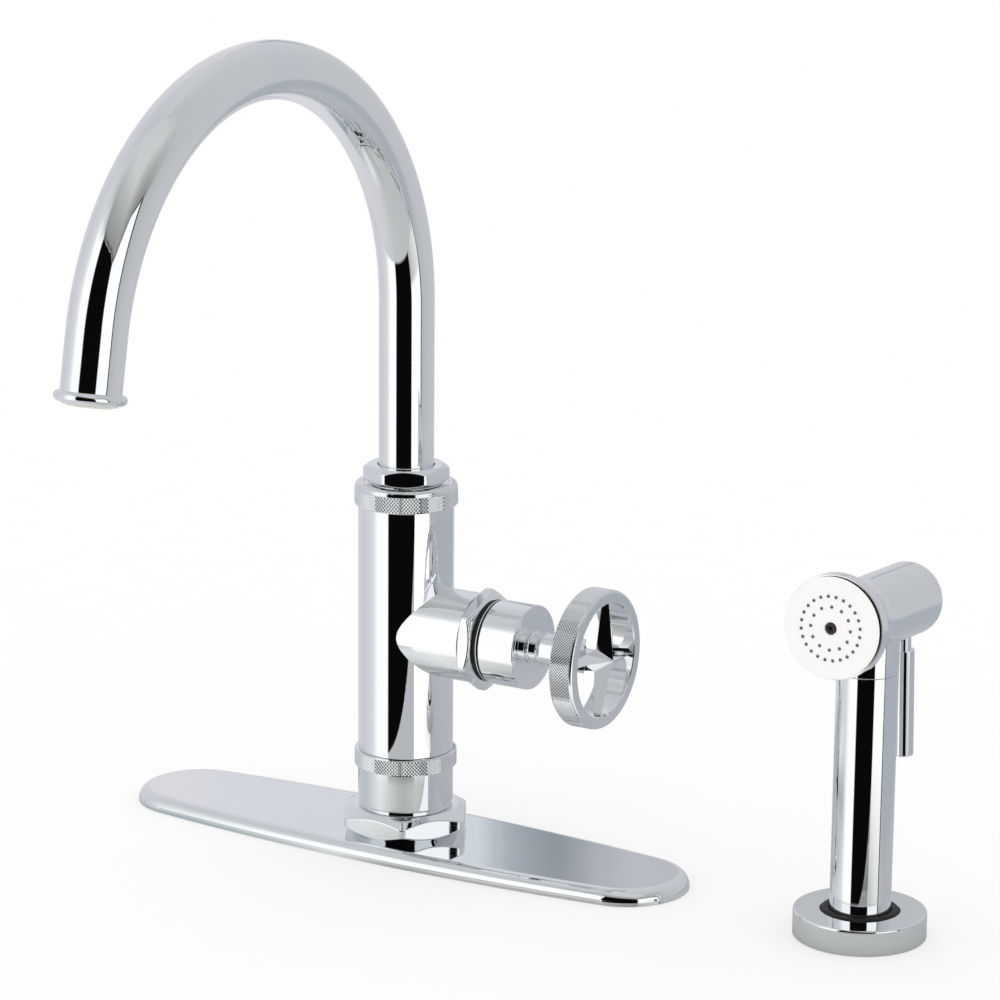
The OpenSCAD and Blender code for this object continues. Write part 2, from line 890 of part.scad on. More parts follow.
module holder_bush() {
    lip_h = 2.2;
    lip_c = (lip_r - grip_r - run_gap) / 2;
    color(rubber)
        rotate_spray()
            polygon(concat(
                [[grip_r - 1.9, bush_z], [bush_r, bush_z], [bush_r, holder_h], [lip_r, holder_h]],
                [for (a = [0:15:180]) [lip_r - lip_c + lip_c * cos(a), holder_h + 0.5 + (lip_h - 0.5) * sin(a)]],
                [[grip_r + run_gap, grip_z], [grip_r - 1.9, grip_z]]));
}

// Side sprayer: hose connector and handle
module hose_connector() {
    foot = grip_z + grip_lip;
    color(brass)
        translate([spray_x, 0, 0])
            difference() {
                union() {
                    translate([0, 0, foot])
                        cylinder(r = connector_r, h = connector_l);
                    translate([0, 0, connector_top])
                        cylinder(r = pipe_bore - journal_gap, h = spigot_top - connector_top);
                }
                translate([0, 0, foot - 1])
                    cylinder(r = hose_r, h = hose_l + 1);
                translate([0, 0, foot])
                    cylinder(r = 3.6, h = cut_l);
                translate([0, 0, connector_top + 5])
                    ring(pipe_bore + 1, pipe_bore - 1.3, 1.6);
            }
}

module connector_washer() {
    color(rubber)
        translate([spray_x, 0, connector_top + 5.8])
            rotate_extrude()
                translate([pipe_bore - 0.67, 0])
                    circle(r = 0.6);
}

module sprayer_tube() {
    color(chrome)
        rotate_spray()
            polygon([[grip_in - 1.4, grip_z], [grip_r - 0.4, grip_z], [grip_r, grip_z + 0.4],
                [grip_r, seam_z - 0.3], [grip_r - 0.3, seam_z], [grip_in, seam_z],
                [grip_in, grip_z + grip_lip], [grip_in - 1.4, grip_z + grip_lip]]);
}

module sprayer_waterway() {
    color(nylon)
        rotate_spray()
            polygon([[pipe_bore, connector_top + run_gap], [pipe_r, connector_top + run_gap],
                [pipe_r, pipe_top], [pipe_tip_r, pipe_top], [pipe_tip_r, pipe_tip],
                [3, pipe_tip], [3, spigot_top + 2], [pipe_bore, spigot_top + 2]]);
}

// Side sprayer: head
module sprayer_head() {
    color(chrome)
        difference() {
            union() {
                on_head()
                    rotate_extrude()
                        polygon(concat(
                            [[0, -head_back]],
                            [for (a = [-90:18:0]) [head_r - 3 + 3 * cos(a), -head_back + 3 + 3 * sin(a)]],
                            [for (i = [0:10]) let (d = (bell_lip - bell_start) * i / 10)
                                [head_r + bell_arc - sqrt(bell_arc * bell_arc - d * d), bell_start + d]],
                            [[bell_r, bell_d - 0.5], [bell_r - 0.4, bell_d], [0, bell_d]]));
                rotate_spray()
                    polygon([[0, seam_z], [grip_r - 0.3, seam_z], [grip_r, seam_z + 0.3],
                        [grip_r, head_z], [0, head_z]]);
                translate([spray_x, 0, seam_z - 6])
                    cylinder(r = grip_in - slip, h = 7);
            }
            on_head()
                translate([0, 0, -cavity_back])
                    cylinder(r = head_in, h = cavity_back + bell_d + 1);
            on_head()
                translate([0, 0, front_d])
                    cylinder(r = front_in, h = bell_d);
            translate([spray_x, 0, seam_z - 7])
                cylinder(r = neck_bore, h = head_z - seam_z);
            on_head()
                rotate([90, 0, 0])
                    for (d = [slot_back, slot_front])
                        translate([0, d, 0])
                            cylinder(r = lever_neck_r + run_gap, h = head_r + 2);
            on_head()
                translate([-lever_neck_r - run_gap, -head_r - 2, slot_back])
                    cube([2 * (lever_neck_r + run_gap), head_r, slot_front - slot_back]);
            on_head()
                translate([0, pivot_up, -pivot_back])
                    rotate([0, 90, 0])
                        translate([0, 0, -pin_half - slip])
                            cylinder(r = pin_r + journal_gap, h = 2 * (pin_half + slip));
        }
}

module head_core() {
    color(nylon)
        difference() {
            on_head()
                union() {
                    translate([0, 0, -valve_back])
                        cylinder(r = head_in - run_gap, h = valve_back + front_d);
                    translate([0, 0, front_d])
                        cylinder(r = front_in - run_gap, h = 2.8);
                }
            on_head()
                translate([0, 0, -valve_back - 1])
                    cylinder(r = valve_r + journal_gap, h = valve_back + valve_front + 1);
            on_head()
                cylinder(r = outlet_r, h = bell_d);
            translate([spray_x, 0, head_z - head_r])
                cylinder(r = pipe_tip_r + slip, h = pipe_tip - head_z + head_r);
            translate([spray_x, 0, head_z - head_r])
                cylinder(r = 2.4, h = head_r);
        }
}

module face_seal() {
    color(rubber)
        on_head()
            translate([0, 0, bell_d])
                ring(face_r - 0.1, front_in + slip, seam_w);
}

// Places of the nozzles: an outer circle, and an inner one with half as many
module at_nozzles() {
    for (i = [0:nozzle_count - 1])
        rotate([0, 0, 97.5 + 360 / nozzle_count * i])
            translate([nozzle_ring_r, 0, 0])
                children();
    for (i = [0:nozzle_count / 2 - 1])
        rotate([0, 0, 90 + 720 / nozzle_count * i])
            translate([inner_ring_r, 0, 0])
                children();
}

module spray_face() {
    color(face_white)
        on_head()
            difference() {
                union() {
                    translate([0, 0, face_d])
                        rotate_extrude()
                            polygon([[0, 0], [face_r, 0], [face_r, face_t - 0.5],
                                [face_r - 0.5, face_t], [0, face_t]]);
                    translate([0, 0, front_d + 2.8 + run_gap])
                        ring(front_in - run_gap, mat_r + run_gap, face_d - front_d - 2.8 - run_gap);
                }
                at_nozzles()
                    translate([0, 0, face_d - 1])
                        cylinder(r = nub_r + journal_gap, h = face_t + 2, $fn = 16);
                translate([0, 0, face_d - 1])
                    cylinder(r = 2.3, h = face_t + 2);
            }
}

module spray_nozzles() {
    color(nozzle_grey)
        on_head()
            difference() {
                union() {
                    translate([0, 0, face_d - mat_t])
                        cylinder(r = mat_r, h = mat_t);
                    at_nozzles()
                        translate([0, 0, face_d - 0.5])
                            cylinder(r = nub_r, h = face_t + 0.9, $fn = 16);
                }
                translate([0, 0, face_d - mat_t - 1])
                    cylinder(r = 2.3, h = mat_t + 2);
            }
}

module centre_nozzle() {
    back = face_d - mat_t - 1.2;
    color(nozzle_brown)
        on_head()
            difference() {
                union() {
                    translate([0, 0, back])
                        cylinder(r = 3.6, h = 1.2);
                    translate([0, 0, back])
                        cylinder(r = 2.2, h = face_d + face_t + 0.5 - back, $fn = 6);
                }
                translate([0, 0, back - 1])
                    cylinder(r = 0.6, h = 10);
            }
}

// Lever, its pin and the valve that it pushes
module lever() {
    color(chrome)
        on_lever()
            difference() {
                union() {
                    translate([-eye_half, 0, 0])
                        rotate([0, 90, 0])
                            cylinder(r = eye_r, h = 2 * eye_half);
                    translate([0, 0, -lever_top - 1])
                        cylinder(r = lever_neck_r, h = lever_top + 1);
                    translate([0, rod_shift, -lever_top - lever_l])
                        rotate_extrude()
                            polygon([[0, 0], [lever_r - 0.6, 0], [lever_r, 0.6],
                                [lever_r, lever_l - 0.2], [lever_r - 0.2, lever_l], [0, lever_l]]);
                }
                translate([-eye_half - 1, 0, 0])
                    rotate([0, 90, 0])
                        cylinder(r = pin_r + journal_gap, h = 2 * eye_half + 2);
            }
}

module lever_pin() {
    color(steel)
        on_head()
            translate([-pin_half, pivot_up, -pivot_back])
                rotate([0, 90, 0])
                    cylinder(r = pin_r, h = 2 * pin_half);
}

module valve_cap() {
    color(brass)
        on_head()
            difference() {
                union() {
                    translate([0, 0, -valve_back - cap_t])
                        cylinder(r = cap_r, h = cap_t);
                    translate([0, 0, -valve_back])
                        cylinder(r = valve_r, h = cap_spigot);
                }
                translate([0, 0, -valve_back - cap_t - 1])
                    cylinder(r = tip_stem_r + journal_gap, h = cap_t + cap_spigot + 2);
            }
}

module valve_plunger() {
    groove = valve_r - 1.2;
    color(brass)
        on_head()
            rotate_extrude()
                polygon([[0, tip_start], [tip_stem_r - 0.6, tip_start], [tip_stem_r, tip_start + 0.6],
                    [tip_stem_r, piston_back], [valve_r, piston_back], [valve_r, oring_d - oring_half],
                    [groove, oring_d - oring_half], [groove, oring_d + oring_half],
                    [valve_r, oring_d + oring_half], [valve_r, piston_front], [0, piston_front]]);
}

module plunger_seal() {
    color(rubber)
        on_head()
            translate([0, 0, oring_d])
                rotate_extrude()
                    translate([valve_r - 0.6, 0])
                        circle(r = 0.59);
}

module plunger_spring() {
    color(steel)
        on_head()
            translate([0, 0, piston_front])
                ring(4.4, 3.5, valve_front - piston_front);
}

deck_plate();
deck_gasket();
base_nut();
lower_sleeve();
lower_knurl_ring();
body_shell();
upper_knurl_ring();
spout_nut();
body_core();
cartridge_seals();
cartridge_body();
fixed_disc();
moving_disc();
cartridge_stem();
bonnet_nut();
seal_ring();
trim_ring();
glide_washer();
handle_hub();
hub_screw();
handle_stem();
handwheel();
diverter_housing();
diverter_poppet();
diverter_spring();
spout_glide_ring();
spout_shank();
spout_orings();
spout_tube();
tip_ring();
aerator_washer();
aerator_insert();
aerator_screen();
holder_base();
holder_gasket();
holder_bush();
hose_connector();
connector_washer();
sprayer_tube();
sprayer_waterway();
sprayer_head();
head_core();
face_seal();
spray_face();
spray_nozzles();
centre_nozzle();
lever();
lever_pin();
valve_cap();
valve_plunger();
plunger_seal();
plunger_spring();
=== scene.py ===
# %% [markdown]
# # A chrome kitchen faucet with a side sprayer
#
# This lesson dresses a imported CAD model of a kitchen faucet. The faucet has an oval deck plate, a round body
# with knurled rings, a high-arc spout, and an industrial handwheel on the side of the body. A side sprayer
# stands in its own holder. Every visible piece is modelled here with Blender's own tools, in the place that the
# CAD model gives, and the hidden works inside keep their CAD shapes and get real finishes.
#
# The CAD model is the fixed frame. Its sizes are in millimetres, Blender's are in metres, and both share one
# origin: the middle of the body, on the deck. The handle points to +X and the spout to -Y.

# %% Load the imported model
import math

import bmesh
import bpy
from mathutils import Matrix, Vector


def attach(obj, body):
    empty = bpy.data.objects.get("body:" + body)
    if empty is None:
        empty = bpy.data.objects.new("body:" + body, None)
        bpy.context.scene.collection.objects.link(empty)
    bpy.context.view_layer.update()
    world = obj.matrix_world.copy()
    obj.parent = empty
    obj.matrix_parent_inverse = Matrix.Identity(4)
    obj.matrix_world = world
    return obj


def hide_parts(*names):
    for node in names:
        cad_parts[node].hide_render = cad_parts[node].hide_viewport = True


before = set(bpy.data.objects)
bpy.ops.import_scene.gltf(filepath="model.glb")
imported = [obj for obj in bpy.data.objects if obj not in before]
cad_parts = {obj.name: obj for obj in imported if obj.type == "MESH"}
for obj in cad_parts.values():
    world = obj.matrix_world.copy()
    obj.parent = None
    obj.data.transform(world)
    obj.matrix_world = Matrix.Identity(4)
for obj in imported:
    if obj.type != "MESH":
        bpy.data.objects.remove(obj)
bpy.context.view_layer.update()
bpy.ops.object.select_all(action="DESELECT")
MM = 0.001

# %% [markdown]
# ## The camera
#
# The photograph was taken with a long lens from the right of the spout and a little above. A camera can be
# placed by hand, but here its angles were fitted to the outlines of the plate, the body and the spout. It
# orbits an aim point: azimuth turns it round the faucet, elevation lifts it, and a small roll levels it.

# %% Camera at the photograph's angle
VIEW_AZIMUTH = math.radians(31.0)
VIEW_ELEVATION = math.radians(13.706)
VIEW_ROLL = math.radians(0.5035)
VIEW_DISTANCE = 1509.5 * MM
AIM = Vector((31.774, 19.092, 141.831)) * MM
LENS_MM = 137.35

towards_camera = Vector((
    math.sin(VIEW_AZIMUTH) * math.cos(VIEW_ELEVATION),
    -math.cos(VIEW_AZIMUTH) * math.cos(VIEW_ELEVATION),
    math.sin(VIEW_ELEVATION)))
bpy.ops.object.camera_add()
camera = bpy.context.object
camera.matrix_world = (
    Matrix.Translation(AIM + towards_camera * VIEW_DISTANCE)
    @ Matrix.Rotation(VIEW_AZIMUTH, 4, "Z")
    @ Matrix.Rotation(math.pi / 2 - VIEW_ELEVATION, 4, "X")
    @ Matrix.Rotation(VIEW_ROLL, 4, "Z"))
camera.data.lens = LENS_MM
camera.data.sensor_width = 36
camera.data.clip_end = 20
bpy.context.scene.camera = camera
bpy.context.scene.view_settings.view_transform = "Standard"
print("camera at", [round(c, 3) for c in camera.location])

# %% [markdown]
# ## Colours and nodes
#
# Colours are picked on a screen as sRGB hex codes, while a shader adds light in linear numbers. One function
# turns the first into the second. The others add a node, set it and link it in a single line, so that each
# material below reads as a short recipe.

# %% Helpers for colours and nodes
def linear(code):
    """The linear colour that a shader socket takes, from an sRGB hex code."""
    parts = [int(code[i:i + 2], 16) / 255 for i in (1, 3, 5)]
    return tuple(c / 12.92 if c <= 0.04045 else ((c + 0.055) / 1.055) ** 2.4 for c in parts) + (1.0,)


def add_node(tree, kind, settings=None, inputs=None):
    """Adds a node, sets its own options, and gives each named input a number, a colour or a link."""
    node = tree.nodes.new("ShaderNode" + kind)
    for option, value in (settings or {}).items():
        setattr(node, option, value)
    for name, value in (inputs or {}).items():
        if isinstance(value, bpy.types.NodeSocket):
            tree.links.new(value, node.inputs[name])
        else:
            node.inputs[name].default_value = value
    return node


def math_node(tree, operation, first, second=0.0):
    """A maths node's output."""
    return add_node(tree, "Math", {"operation": operation}, {0: first, 1: second}).outputs[0]


def map_range(tree, value, start, end, low=0.0, high=1.0):
    """A number that goes from low to high while the value goes from start to end."""
    return add_node(tree, "MapRange", inputs={
        "Value": value, "From Min": start, "From Max": end, "To Min": low, "To Max": high}).outputs[0]


def empty_material(name):
    """A new material without nodes, and its tree."""
    material = bpy.data.materials.new(name)
    material.use_nodes = True
    material.node_tree.nodes.clear()
    return material, material.node_tree


print("white is", linear("#ffffff"), "and mid grey is", [round(c, 3) for c in linear("#808080")])

# %% [markdown]
# ## The studio
#
# Chrome has no colour of its own: it shows the room. The photograph's room can be read off the faucet. In front
# there is a dark gap, and on both sides of it stand tall white screens. The screens give every upright tube a
# black stripe with a white band on each side. Further round and overhead the room is pale blue-grey.
#
# The room is painted on the world by direction, and only mirror rays see it. Camera rays see plain white, and
# all other rays get an even white light of strength 1, at which a colour renders about as it is written.

# %% Directions round the room, in degrees
DARK_FROM, DARK_TO = -42.0, 22.0
RIGHT_SCREEN_TO = 60.5
SCREEN_LEVEL = 1.18
TABLE_FROM, TABLE_BLUR = -30.5, 0.7
room = bpy.data.worlds.new("studio_room")
bpy.context.scene.world = room
room.use_nodes = True
tree = room.node_tree
tree.nodes.clear()


def seen_from_camera(tree, place):
    """The place or direction with X turned to the camera, split into its three numbers."""
    turned = add_node(tree, "Mapping", {"vector_type": "VECTOR"}, {
        "Vector": place, "Rotation": (0, 0, math.pi / 2 - VIEW_AZIMUTH)})
    return add_node(tree, "SeparateXYZ", inputs={"Vector": turned.outputs["Vector"]})


def round_about(tree, axes):
    """The bearing from the camera, from 0 for -180 degrees to 1 for 180."""
    return map_range(tree, math_node(tree, "ARCTAN2", axes.outputs["Y"], axes.outputs["X"]), -math.pi, math.pi)


place = add_node(tree, "TexCoord").outputs["Generated"]
axes = seen_from_camera(tree, place)
around = round_about(tree, axes)
height = math_node(tree, "DEGREES", math_node(tree, "ARCSINE", axes.outputs["Z"]))
print("the dark gap spans", DARK_TO - DARK_FROM, "degrees")


# %% Colours by bearing
def ramp(tree, factor, stops):
    """A colour ramp with a stop for each (place, colour)."""
    node = add_node(tree, "ValToRGB", inputs={"Fac": factor})
    points = node.color_ramp.elements
    while len(points) < len(stops):
        points.new(1.0)
    for point, (spot, colour) in zip(points, stops):
        point.position = spot
        point.color = colour if isinstance(colour, tuple) else linear(colour)
    return node.outputs["Color"]


def by_bearing(tree, factor, stops):
    """A ramp whose stops are bearings from the camera, in degrees."""
    return ramp(tree, factor, [(degrees / 360 + 0.5, colour) for degrees, colour in stops])


def level_by_bearing(tree, factor, stops):
    """A number from 0 to 1 that changes with the bearing."""
    return by_bearing(tree, factor, [(degrees, grey(level)) for degrees, level in stops])


def blend(tree, factor, first, second):
    """The first colour or number socket faded into the second."""
    return add_node(tree, "Mix", {"data_type": "RGBA"}, {0: factor, 6: first, 7: second}).outputs[2]


def grey(level):
    """A level from 0 to 1 as a colour, for ramps that carry a number."""
    return (level, level, level, 1.0)


print("the screens shine at", grey(SCREEN_LEVEL)[:3])

# %% Walls and table by bearing
# A ramp holds 256 colours, too few for the thin bands right behind the faucet, so those have their own ramp.
SCREEN = grey(SCREEN_LEVEL)
THIN = RIGHT_SCREEN_TO + 0.4
BAND_FROM, BAND_TO = 174, 186
walls = by_bearing(tree, around, [
    (-180, "#e1e1e6"), (-120, "#d6d7dc"), (-96, "#e0e1e5"), (-85, "#e8e9ec"), (-70, SCREEN),
    (RIGHT_SCREEN_TO, SCREEN), (THIN, "#262726"), (THIN + 3.6, "#262726"), (THIN + 4.2, "#c0c2c2"),
    (100, "#cbccd0"), (150, "#cdced2"), (180, "#d6d7dc")])
behind = map_range(tree, math_node(tree, "FRACT", math_node(tree, "ADD", around, 0.5)),
                   BAND_FROM / 360, BAND_TO / 360)
back_wall = ramp(tree, behind, [((degrees - BAND_FROM) / (BAND_TO - BAND_FROM), colour) for degrees, colour in [
    (176.8, "#b9bec2"), (177.9, "#babdc2"), (178.2, "#adb0bc"), (178.35, "#a8acb7"), (178.5, "#a1a5ae"),
    (178.65, "#8c979e"), (178.8, "#848c95"), (178.95, "#707d85"), (179.1, "#6c7b84"), (179.25, "#75828d"),
    (179.4, "#808995"), (179.55, "#8b93a0"), (179.7, "#959ea9"), (179.85, "#a1acb4"), (180, "#bcc3cc"),
    (180.15, "#ced3d9"), (180.3, "#d9e1e3"), (180.5, "#dde0e5"), (182.5, "#e0e1e6"),
    (184.4, "#e2e3e8"), (185.1, "#e6e6e9")]])
table = by_bearing(tree, around, [
    (-180, "#e3e4e8"), (-70, "#dcdcdf"), (-30, "#cdcecd"), (25, "#c8cac9"), (56.5, "#c9cacb"),
    (57.5, "#6f7070"), (59.5, "#6f7070"), (60.5, "#cacbcf"), (153, "#cacbcf"), (155, "#8c9195"),
    (157, "#8c9195"), (159, "#e3e4e8"), (180, "#e3e4e8")])
print("the right screen ends at", RIGHT_SCREEN_TO, "degrees")

# %% Upper edge of the screens, and the ceiling over it
# The edge is higher on the left. Each stop is a bearing and the edge's height there.
TOP_EDGE = [(-180, 46), (-60, 45), (-48, 43.6), (-12.5, 38.5), (8, 33), (22, 25.5), (28, 26), (46, 30.5),
            (62, 25), (80, 22), (180, 22)]
top_edge = math_node(tree, "MULTIPLY", level_by_bearing(
    tree, around, [(bearing, up / 90) for bearing, up in TOP_EDGE]), 90.0)
above = math_node(tree, "SUBTRACT", height, top_edge)
front_ceiling = ramp(tree, math_node(tree, "DIVIDE", above, 60.0), [
    (0.0, "#454744"), (0.02, "#6d6f6c"), (0.04, "#989a97"), (0.22, "#b5b7b4"), (0.5, "#dadbd9"),
    (1.0, "#d6d7d9")])
side_ceiling = by_bearing(tree, around, [
    (-180, "#d6d7db"), (-120, "#d0d1d5"), (-60, "#dcddde"), (60, "#c6c8c7"), (100, "#cbccd0"),
    (180, "#d6d7db")])
facing = level_by_bearing(tree, around, [(-180, 0), (-95, 0), (-50, 1), (60, 1), (80, 0), (180, 0)])
ceiling = blend(tree, facing, side_ceiling, front_ceiling)
softness = math_node(tree, "MULTIPLY", level_by_bearing(tree, around, [
    (-180, 0.9), (-60, 0.9), (-42, 0.05), (64, 0.05), (75, 0.8), (180, 0.9)]), 10.0)
over = map_range(tree, above, math_node(tree, "MULTIPLY", softness, -1.0), softness)
print("the screens end", min(up for _, up in TOP_EDGE), "to", max(up for _, up in TOP_EDGE), "degrees up")

# %% The room put together
BACK_LOW, BACK_HIGH, BACK_SHARE = 12.0, 23.0, 0.47
DIM_FROM, DIM_TO = -17.3, -19.8
low_back = math_node(tree, "MULTIPLY", math_node(tree, "GREATER_THAN", height, BACK_LOW),
                     math_node(tree, "LESS_THAN", height, BACK_HIGH))
at_back = math_node(tree, "GREATER_THAN", math_node(
    tree, "ABSOLUTE", math_node(tree, "SUBTRACT", around, 0.5)), BACK_SHARE)
walls = blend(tree, math_node(tree, "MULTIPLY", low_back, at_back), walls, back_wall)
low_right = math_node(tree, "MULTIPLY", level_by_bearing(tree, around, [
    (DARK_TO - 0.5, 0), (DARK_TO, 1), (RIGHT_SCREEN_TO, 1), (RIGHT_SCREEN_TO + 0.5, 0)]),
    map_range(tree, height, DIM_FROM, DIM_TO))
walls = blend(tree, low_right, walls, by_bearing(
    tree, around, [(22, "#bfc0c5"), (40, "#e0e1df"), (60, "#f2f3ee")]))
gap = math_node(tree, "MULTIPLY", math_node(tree, "LESS_THAN", above, 0.0), level_by_bearing(tree, around, [
    (DARK_FROM - 0.6, 0), (DARK_FROM, 1), (DARK_TO, 1), (DARK_TO + 0.6, 0)]))
lower = blend(tree, gap, blend(tree, over, walls, ceiling), grey(0.003))
down = map_range(tree, height, TABLE_FROM + TABLE_BLUR, TABLE_FROM - TABLE_BLUR)
mirror = add_node(tree, "Background", inputs={"Color": blend(tree, down, lower, table), "Strength": 1.0})
plain = add_node(tree, "Background", inputs={"Color": grey(1.0), "Strength": 1.0})
choice = add_node(tree, "MixShader", inputs={
    0: add_node(tree, "LightPath").outputs["Is Glossy Ray"], 1: plain.outputs[0], 2: mirror.outputs[0]})
add_node(tree, "OutputWorld", inputs={"Surface": choice.outputs[0]})
print("the room has", len(tree.nodes), "nodes")

# %% [markdown]
# ## The table
#
# The faucet stands on a white sheet. The floor here is one large matt plane that catches the soft shadow. Most
# mirror rays pass through it and see the room, whose lower half holds the sheet's pale tone. They do meet it
# near the faucet and near the sprayer, and in a wide patch on the right. There the floor shows them painted
# shade: grey tones that stand in for the sheet in shadow.
#
# Low on each upright tube the black stripe narrows to a point, where the near edge of the sheet cuts it off.
# Faucet and sprayer each have a card on the floor that cuts their stripe. It shines only for mirror rays, and
# is linked at the end to the pieces that show it. The sprayer's card is shorter, because its stripe reaches
# further down. The faucet's card has a fourth corner, far to the right, that lights the handwheel's star.

# %% Floor, partly open to mirror rays
bpy.ops.mesh.primitive_plane_add(size=12)
floor = bpy.context.object
floor.name = "floor"
SPRAY_X = 203.2
FAUCET_SHEET, SPRAYER_SHEET, WIDE_SHEET = (105, 150), (50, 56), (560, 760)
paper, tree = empty_material("white_paper_with_painted_shade")
place = add_node(tree, "TexCoord").outputs["Object"]
bearing = round_about(tree, seen_from_camera(tree, place))
sector = level_by_bearing(tree, bearing, [(61, 0), (63, 1), (148, 1), (156, 0)])


def patch(centre, start, end):
    """1 near a centre, fading to 0 between two distances, all in mm."""
    away = add_node(tree, "VectorMath", {"operation": "DISTANCE"}, {
        0: place, 1: tuple(c * MM for c in centre)}).outputs["Value"]
    return map_range(tree, away, start * MM, end * MM, 1.0, 0.0)


near = math_node(tree, "MAXIMUM", patch((0, 0, 0), *FAUCET_SHEET), patch((SPRAY_X, 0, 0), *SPRAYER_SHEET))
wide = math_node(tree, "MULTIPLY", sector, patch((0, 0, 0), *WIDE_SHEET))
mirror_ray = add_node(tree, "LightPath").outputs["Is Glossy Ray"]
open_here = math_node(tree, "MULTIPLY", mirror_ray, math_node(
    tree, "SUBTRACT", 1.0, math_node(tree, "MAXIMUM", near, wide)))
grain = add_node(tree, "TexNoise", inputs={"Vector": place, "Scale": 40.0}).outputs[0]
white = blend(tree, grain, linear("#fdfdfd"), linear("#ffffff"))
# Painted shade: mirror rays see the sheet in grey tones set by bearing from the faucet. In the wide patch it is
# a grey that gets darker further out.
shade = blend(tree, wide, by_bearing(tree, bearing, [
    (-180, "#b4bcc6"), (-128, "#9ba6b4"), (-108, "#c0cacd"), (-91, "#d3dadb"), (-56, "#fbfbfa"),
    (-35, "#e4e5e3"), (-14, "#cacccb"), (0, "#c5c7c6"), (24, "#dadad7"), (45, "#cfd0ce"), (60, "#c4c6c6"),
    (180, "#c0c4c8")]),
    blend(tree, patch((0, 0, 0), 280, 340), linear("#b5bac0"), linear("#c1c2c7")))
matt = add_node(tree, "BsdfDiffuse", inputs={"Color": blend(tree, mirror_ray, white, shade)})
through = add_node(tree, "BsdfTransparent")
backlight = add_node(tree, "Emission", inputs={"Color": grey(1.0), "Strength": 1.0})
camera_ray = add_node(tree, "LightPath").outputs["Is Camera Ray"]
top = add_node(tree, "MixShader", inputs={
    0: math_node(tree, "MULTIPLY", camera_ray, 0.5), 1: matt.outputs[0], 2: backlight.outputs[0]})
sheet = add_node(tree, "MixShader", inputs={0: open_here, 1: top.outputs[0], 2: through.outputs[0]})
add_node(tree, "OutputMaterial", inputs={"Surface": sheet.outputs[0]})
floor.data.materials.append(paper)
print("the floor is", floor.dimensions.x, "m wide")

# %% Cards that end the stripes
CARD_LEFT = -60.0


def stripe_card(name, spot, edge, slope, right_end, sheet, *more):
    """A card with a corner at the spot, in mm. On its far side, forward minus slope times right is the edge.

    It is faded out where the sheet is opaque. More corners are given as bearing and reach.
    """
    far_side = [(degrees, edge / (math.cos(math.radians(degrees)) - slope * math.sin(math.radians(degrees))))
                for degrees in (CARD_LEFT, right_end)]
    corners = [(0, 0), *far_side, *more]
    bpy.ops.mesh.primitive_circle_add(
        vertices=len(corners), radius=1, fill_type="NGON", location=Vector(spot) * MM)
    card = bpy.context.object
    card.name = card.data.name = name
    card.rotation_euler.z = VIEW_AZIMUTH - math.pi / 2
    for point, (degrees, reach) in zip(card.data.vertices, corners):
        point.co = Matrix.Rotation(math.radians(degrees), 3, "Z") @ Vector((reach * MM, 0, 0))
    material, tree = empty_material(name + "_grey")
    away = add_node(tree, "VectorMath", {"operation": "LENGTH"}, {
        0: add_node(tree, "TexCoord").outputs["Object"]}).outputs["Value"]
    glow = add_node(tree, "Emission", inputs={
        "Color": linear("#c2c3c5"), "Strength": map_range(tree, away, *(c * MM for c in sheet))})
    both = add_node(tree, "AddShader", inputs={
        0: glow.outputs[0], 1: add_node(tree, "BsdfTransparent").outputs[0]})
    add_node(tree, "OutputMaterial", inputs={"Surface": both.outputs[0]})
    card.data.materials.append(material)
    for kind in ("camera", "diffuse", "transmission", "volume_scatter", "shadow"):
        setattr(card, "visible_" + kind, False)
    return card


faucet_card = stripe_card("card_by_faucet", (0, 0, 0.1), 245, 1.33, 28, FAUCET_SHEET, (60, 1000))
sprayer_card = stripe_card("card_by_sprayer", (SPRAY_X, 0, 0.1), 72, 1.73, 21.5, SPRAYER_SHEET)
print("made", faucet_card.name, "and", sprayer_card.name)

# %% [markdown]
# ## Finishes
#
# The faucet is brass under bright chrome plate. Chrome plate is a nearly perfect mirror, so its recipe is a
# metal of very low roughness with two faint flaws of the real thing: a slow waviness left by the buffing wheel,
# and a haze of fine wipe marks. The knurled places have the same plate over cut diamonds, a little duller.


# %% Patterns of a finish, and a material that has them
def patches(tree, spot, size_mm, detail):
    """Noise in patches of the given size."""
    return add_node(tree, "TexNoise", inputs={
        "Vector": spot, "Scale": 1 / (size_mm * MM), "Detail": detail}).outputs[0]


def uneven_gloss(tree, shader, spot, size_mm, low, high):
    """Roughness that drifts between two numbers over patches of the given size."""
    level = map_range(tree, patches(tree, spot, size_mm, 4.0), 0.3, 0.7, low, high)
    tree.links.new(level, shader.inputs["Roughness"])


def uneven_tone(tree, shader, spot, size_mm, first, second):
    """Base colour that drifts between two colours over patches of the given size."""
    tone = blend(tree, patches(tree, spot, size_mm, 3.0), linear(first), linear(second))
    tree.links.new(tone, shader.inputs["Base Color"])


def fine_relief(tree, shader, spot, size_mm, depth_mm):
    """A bump of the given size and depth."""
    bump = add_node(tree, "Bump", inputs={
        "Height": patches(tree, spot, size_mm, 3.0), "Distance": depth_mm * MM, "Strength": 1.0})
    tree.links.new(bump.outputs[0], shader.inputs["Normal"])


def new_finish(name, colour, metallic, roughness, gloss, tone, relief=None, **more):
    """A material with one Principled shader, patterned on Object places. More sets the shader's other inputs.

    The gloss is a patch size and two roughnesses, the tone a patch size and two colours, and the relief a size
    and a depth. Sizes and depths are in mm.
    """
    material, tree = empty_material(name)
    shader = add_node(tree, "BsdfPrincipled", inputs={
        "Base Color": linear(colour), "Metallic": metallic, "Roughness": roughness,
        **{key.replace("_", " "): value for key, value in more.items()}})
    add_node(tree, "OutputMaterial", inputs={"Surface": shader.outputs[0]})
    spot = add_node(tree, "TexCoord").outputs["Object"]
    uneven_gloss(tree, shader, spot, *gloss)
    uneven_tone(tree, shader, spot, *tone)
    if relief:
        fine_relief(tree, shader, spot, *relief)
    print("made", name)
    return material


